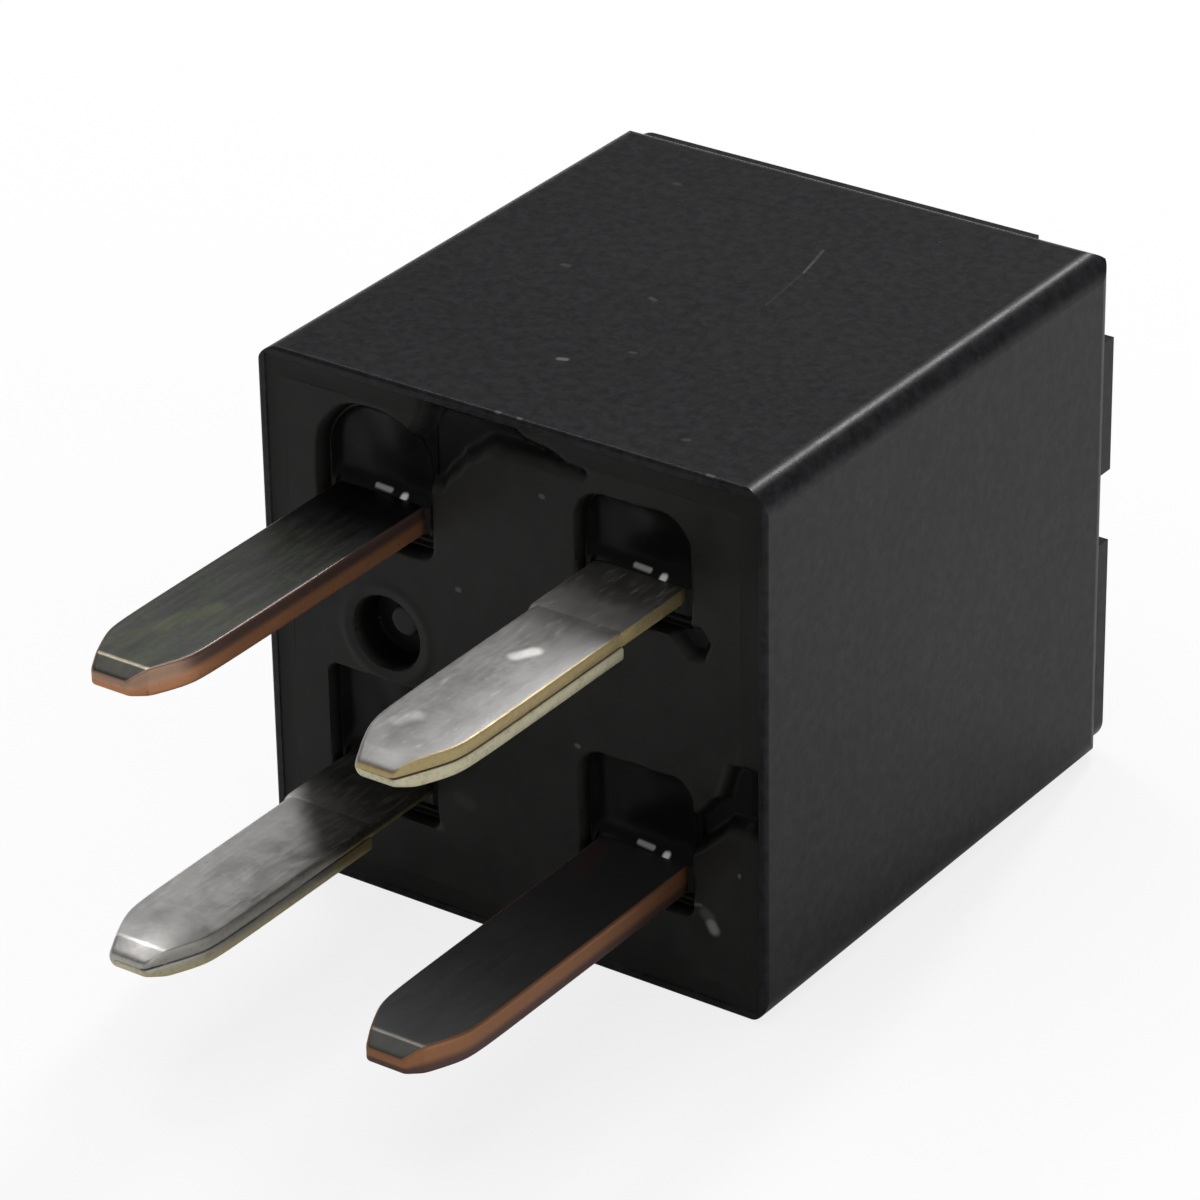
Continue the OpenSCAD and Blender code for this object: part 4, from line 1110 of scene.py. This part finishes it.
class RELAY_OT_load_terminals(Operator):
    """Build the two copper terminals that carry the switched current"""

    bl_idname = "relay.load_terminals"
    bl_label = "Load Terminals"

    def execute(self, context):
        places, thick = blade_places(), sizes().blade_thickness
        hole_radius, hole_rise, shelf_height = 0.57, 1.05, 2.1
        shelf_y, shelf_z = CONTACT_HIGH[1] - thick, CONTACT_LOW[2]
        shelf = holed_plate((CONTACT_LOW[0], shelf_y, shelf_z),
                            (CONTACT_HIGH[0], CONTACT_HIGH[1], shelf_z + shelf_height),
                            0.0, shelf_z + hole_rise, hole_radius)
        flat = np.zeros(len(shelf[0]))
        # Each strip's end: its middle's height, the step's length, its place and more parts
        ends = {
            "common": (COMMON_HIGH[2] - thick / 2, 1.05, COMMON_HIGH[1], []),
            "contact": (shelf_z + thick / 2, 1.9, shelf_y + 0.1, [(shelf, (flat, flat))]),
        }
        material = terminal_copper()
        for name, (end_z, step, end_y, more) in ends.items():
            strip = load_terminal_parts(*places[name], end_z, step, end_y)
            solids, values = gather([strip, *more])
            place(make_piece(f"{name}_terminal", solids, values), HOUSING, "terminal_copper",
                  material, f"terminal_{name}")
        return {"FINISHED"}


class RELAY_OT_coil_terminals(Operator):
    """Build the two folded terminals that feed the coil"""

    bl_idname = "relay.coil_terminals"
    bl_label = "Coil Terminals"

    def execute(self, context):
        material = terminal_brass()
        for name, side in (("coil_a", 1), ("coil_b", -1)):
            solids, values = gather(coil_terminal_parts(name, side))
            place(make_piece(f"{name}_terminal", solids, values), HOUSING, "terminal_brass",
                  material, f"terminal_{name}")
        return {"FINISHED"}


class RELAY_OT_magnet(Operator):
    """Finish the coil, its core and the yoke"""

    bl_idname = "relay.magnet"
    bl_label = "Coil and Yoke"

    def execute(self, context):
        dress(["core", "yoke", "armature"], "magnet_iron")
        dress(["bobbin"], "bobbin_plastic")
        dress(["winding", "coil_lead_a", "coil_lead_b"], "winding_copper")
        dress(["winding_tape"], "winding_tape")
        return {"FINISHED"}


class RELAY_OT_contacts(Operator):
    """Build the leaf spring and finish the contacts, the stop and the rivets"""

    bl_idname = "relay.contacts"
    bl_label = "Contacts"

    def execute(self, context):
        dress(["moving_contact", "fixed_contact"], "contact_silver")
        dress(["back_stop"], "stop_steel")
        dress(["yoke_rivets", "armature_rivets"], "rivet_steel")
        piece = make_piece("leaf_spring", [loft(spring_rings())])
        piece.data.materials.append(plated_metal("spring_bronze", *METALS["spring_bronze"]))
        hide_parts("contact_spring")
        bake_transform(piece)
        return {"FINISHED"}


class RELAY_OT_stage(Operator):
    """Set up the floor, the lamps, the world and the camera"""

    bl_idname = "relay.stage"
    bl_label = "Stage"

    def execute(self, context):
        build_floor()
        build_lamps()
        build_world()
        build_camera()
        context.scene.view_settings.view_transform = "Standard"
        return {"FINISHED"}


# ---------------------------------------------------------------- stage


def build_floor():
    """A wide pale floor under the relay. To the camera it is mostly a pale sheet of its own,
    with the shadow kept; for other rays it is lit like any surface."""
    reach, low = 3.0, COVER_LOW[2] * MM
    mesh = bpy.data.meshes.new("floor")
    mesh.from_pydata([(-reach, -reach, low), (reach, -reach, low), (reach, reach, low),
                      (-reach, reach, low)], [], [(0, 1, 2, 3)])
    floor = bpy.data.objects.new("floor", mesh)
    bpy.context.scene.collection.objects.link(floor)
    s = Shader("floor_pale", Roughness=0.9, Specular_IOR_Level=0.1)
    s.put(s.surface.inputs["Base Color"], tuple(colours().floor))
    glow = s.add("ShaderNodeEmission", {"Color": (1.0, 1.0, 1.0), "Strength": 1.0})
    seen = s.add("ShaderNodeLightPath", {}, "Is Camera Ray")
    lit = Value(s, s.surface.outputs[0])
    mixed = s.add("ShaderNodeMixShader", {0: seen * 0.80, 1: lit, 2: glow})
    s.put(s.tree.nodes["Material Output"].inputs["Surface"], mixed)
    mesh.materials.append(s.material)


def add_lamp(name, place_mm, aim_mm, size_mm, watts, tint=(1.0, 1.0, 1.0)):
    """A square area lamp at a place, turned to a point."""
    data = bpy.data.lights.new(name, "AREA")
    data.shape, data.size, data.size_y = "RECTANGLE", size_mm[0] * MM, size_mm[1] * MM
    data.energy, data.color = watts, tint
    lamp = bpy.data.objects.new(name, data)
    bpy.context.scene.collection.objects.link(lamp)
    from_to = np.array(aim_mm, float) - np.array(place_mm, float)
    lamp.rotation_euler = Vector(from_to).to_track_quat("-Z", "Y").to_euler()
    lamp.location = np.array(place_mm) * MM


def build_lamps():
    """Two wide soft lamps for the general light, a strip behind for the long edges, a smaller
    one above for the front rim and the blades."""
    add_lamp("soft_top", (-120, -60, 900), (0, 0, 0), (700, 700), 2.2)
    add_lamp("soft_right", (900, -250, 250), (0, 4, 0), (500, 500), 1.3)
    add_lamp("strip_back", (-70, 434, 407), (0, 8, 0), (45, 200), 1.5)
    add_lamp("rim_above", (-303, 162, 492), (0, 0, 4), (120, 70), 0.45)


def build_world():
    """A white backdrop for the camera, a dimmer one for reflections and soft fill light."""
    world = bpy.data.worlds.new("studio")
    bpy.context.scene.world = world
    world.use_nodes = True
    nodes, links = world.node_tree.nodes, world.node_tree.links
    background = nodes["Background"]
    path = nodes.new("ShaderNodeLightPath")

    def choose(factor, low, high):
        """low, or high where factor is 1."""
        node = nodes.new("ShaderNodeMapRange")
        for index, value in ((3, low), (4, high)):
            if hasattr(value, "node"):
                links.new(value, node.inputs[index])
            else:
                node.inputs[index].default_value = value
        links.new(factor, node.inputs[0])
        return node.outputs[0]

    strength = choose(path.outputs["Is Glossy Ray"], 0.55, 0.24)
    strength = choose(path.outputs["Is Transmission Ray"], strength, 0.9)
    strength = choose(path.outputs["Is Camera Ray"], strength, 1.0)
    links.new(strength, background.inputs["Strength"])
    background.inputs["Color"].default_value = (1.0, 1.0, 1.0, 1.0)


def build_camera():
    """The camera at the viewing angle: azimuth, elevation and roll about a point it aims at."""
    azimuth, elevation, roll = (math.radians(v) for v in (35.265, 28.243, -0.959))
    target = np.array([2.865, 0.0, 3.279])
    distance = 149.109
    back = np.array([math.sin(azimuth) * math.cos(elevation),
                     -math.cos(azimuth) * math.cos(elevation), math.sin(elevation)])
    right = np.cross([0.0, 0.0, 1.0], back)
    right /= np.linalg.norm(right)
    up = np.cross(back, right)
    turned = math.cos(roll) * right + math.sin(roll) * up
    upright = -math.sin(roll) * right + math.cos(roll) * up
    data = bpy.data.cameras.new("camera")
    data.sensor_width, data.lens = 36.0, 177.0144
    data.clip_start, data.clip_end = 0.005, 20.0
    camera = bpy.data.objects.new("camera", data)
    bpy.context.scene.collection.objects.link(camera)
    matrix = np.eye(4)
    matrix[:3, 0], matrix[:3, 1], matrix[:3, 2] = turned, upright, back
    matrix[:3, 3] = (target + back * distance) * MM
    camera.matrix_world = matrix.T
    bpy.context.scene.camera = camera


# ---------------------------------------------------------------- panel and run


OPERATORS = (RELAY_OT_cover, RELAY_OT_base, RELAY_OT_sealant, RELAY_OT_load_terminals,
             RELAY_OT_coil_terminals, RELAY_OT_magnet, RELAY_OT_contacts, RELAY_OT_stage)


class RELAY_PT_panel(Panel):
    """Lists the relay's sizes, colours and build steps"""

    bl_idname = "RELAY_PT_panel"
    bl_label = "Relay"
    bl_space_type = "VIEW_3D"
    bl_region_type = "UI"
    bl_category = "Relay"

    def draw(self, context):
        layout = self.layout
        for group in (context.scene.relay_sizes, context.scene.relay_colours):
            for key in group.__annotations__:
                layout.prop(group, key)
        for operator in OPERATORS:
            layout.operator(operator.bl_idname)


CLASSES = (RelaySizes, RelayColours, *OPERATORS, RELAY_PT_panel)


def register():
    """Registers the classes and puts the two groups on the scene."""
    for cls in CLASSES:
        bpy.utils.register_class(cls)
    bpy.types.Scene.relay_sizes = PointerProperty(type=RelaySizes)
    bpy.types.Scene.relay_colours = PointerProperty(type=RelayColours)


def unregister():
    """Takes both away again."""
    del bpy.types.Scene.relay_colours
    del bpy.types.Scene.relay_sizes
    for cls in reversed(CLASSES):
        bpy.utils.unregister_class(cls)


def main():
    """Runs every build step in order."""
    register()
    for operator in OPERATORS:
        group, name = operator.bl_idname.split(".")
        getattr(getattr(bpy.ops, group), name)()


if __name__ == "__main__":
    main()
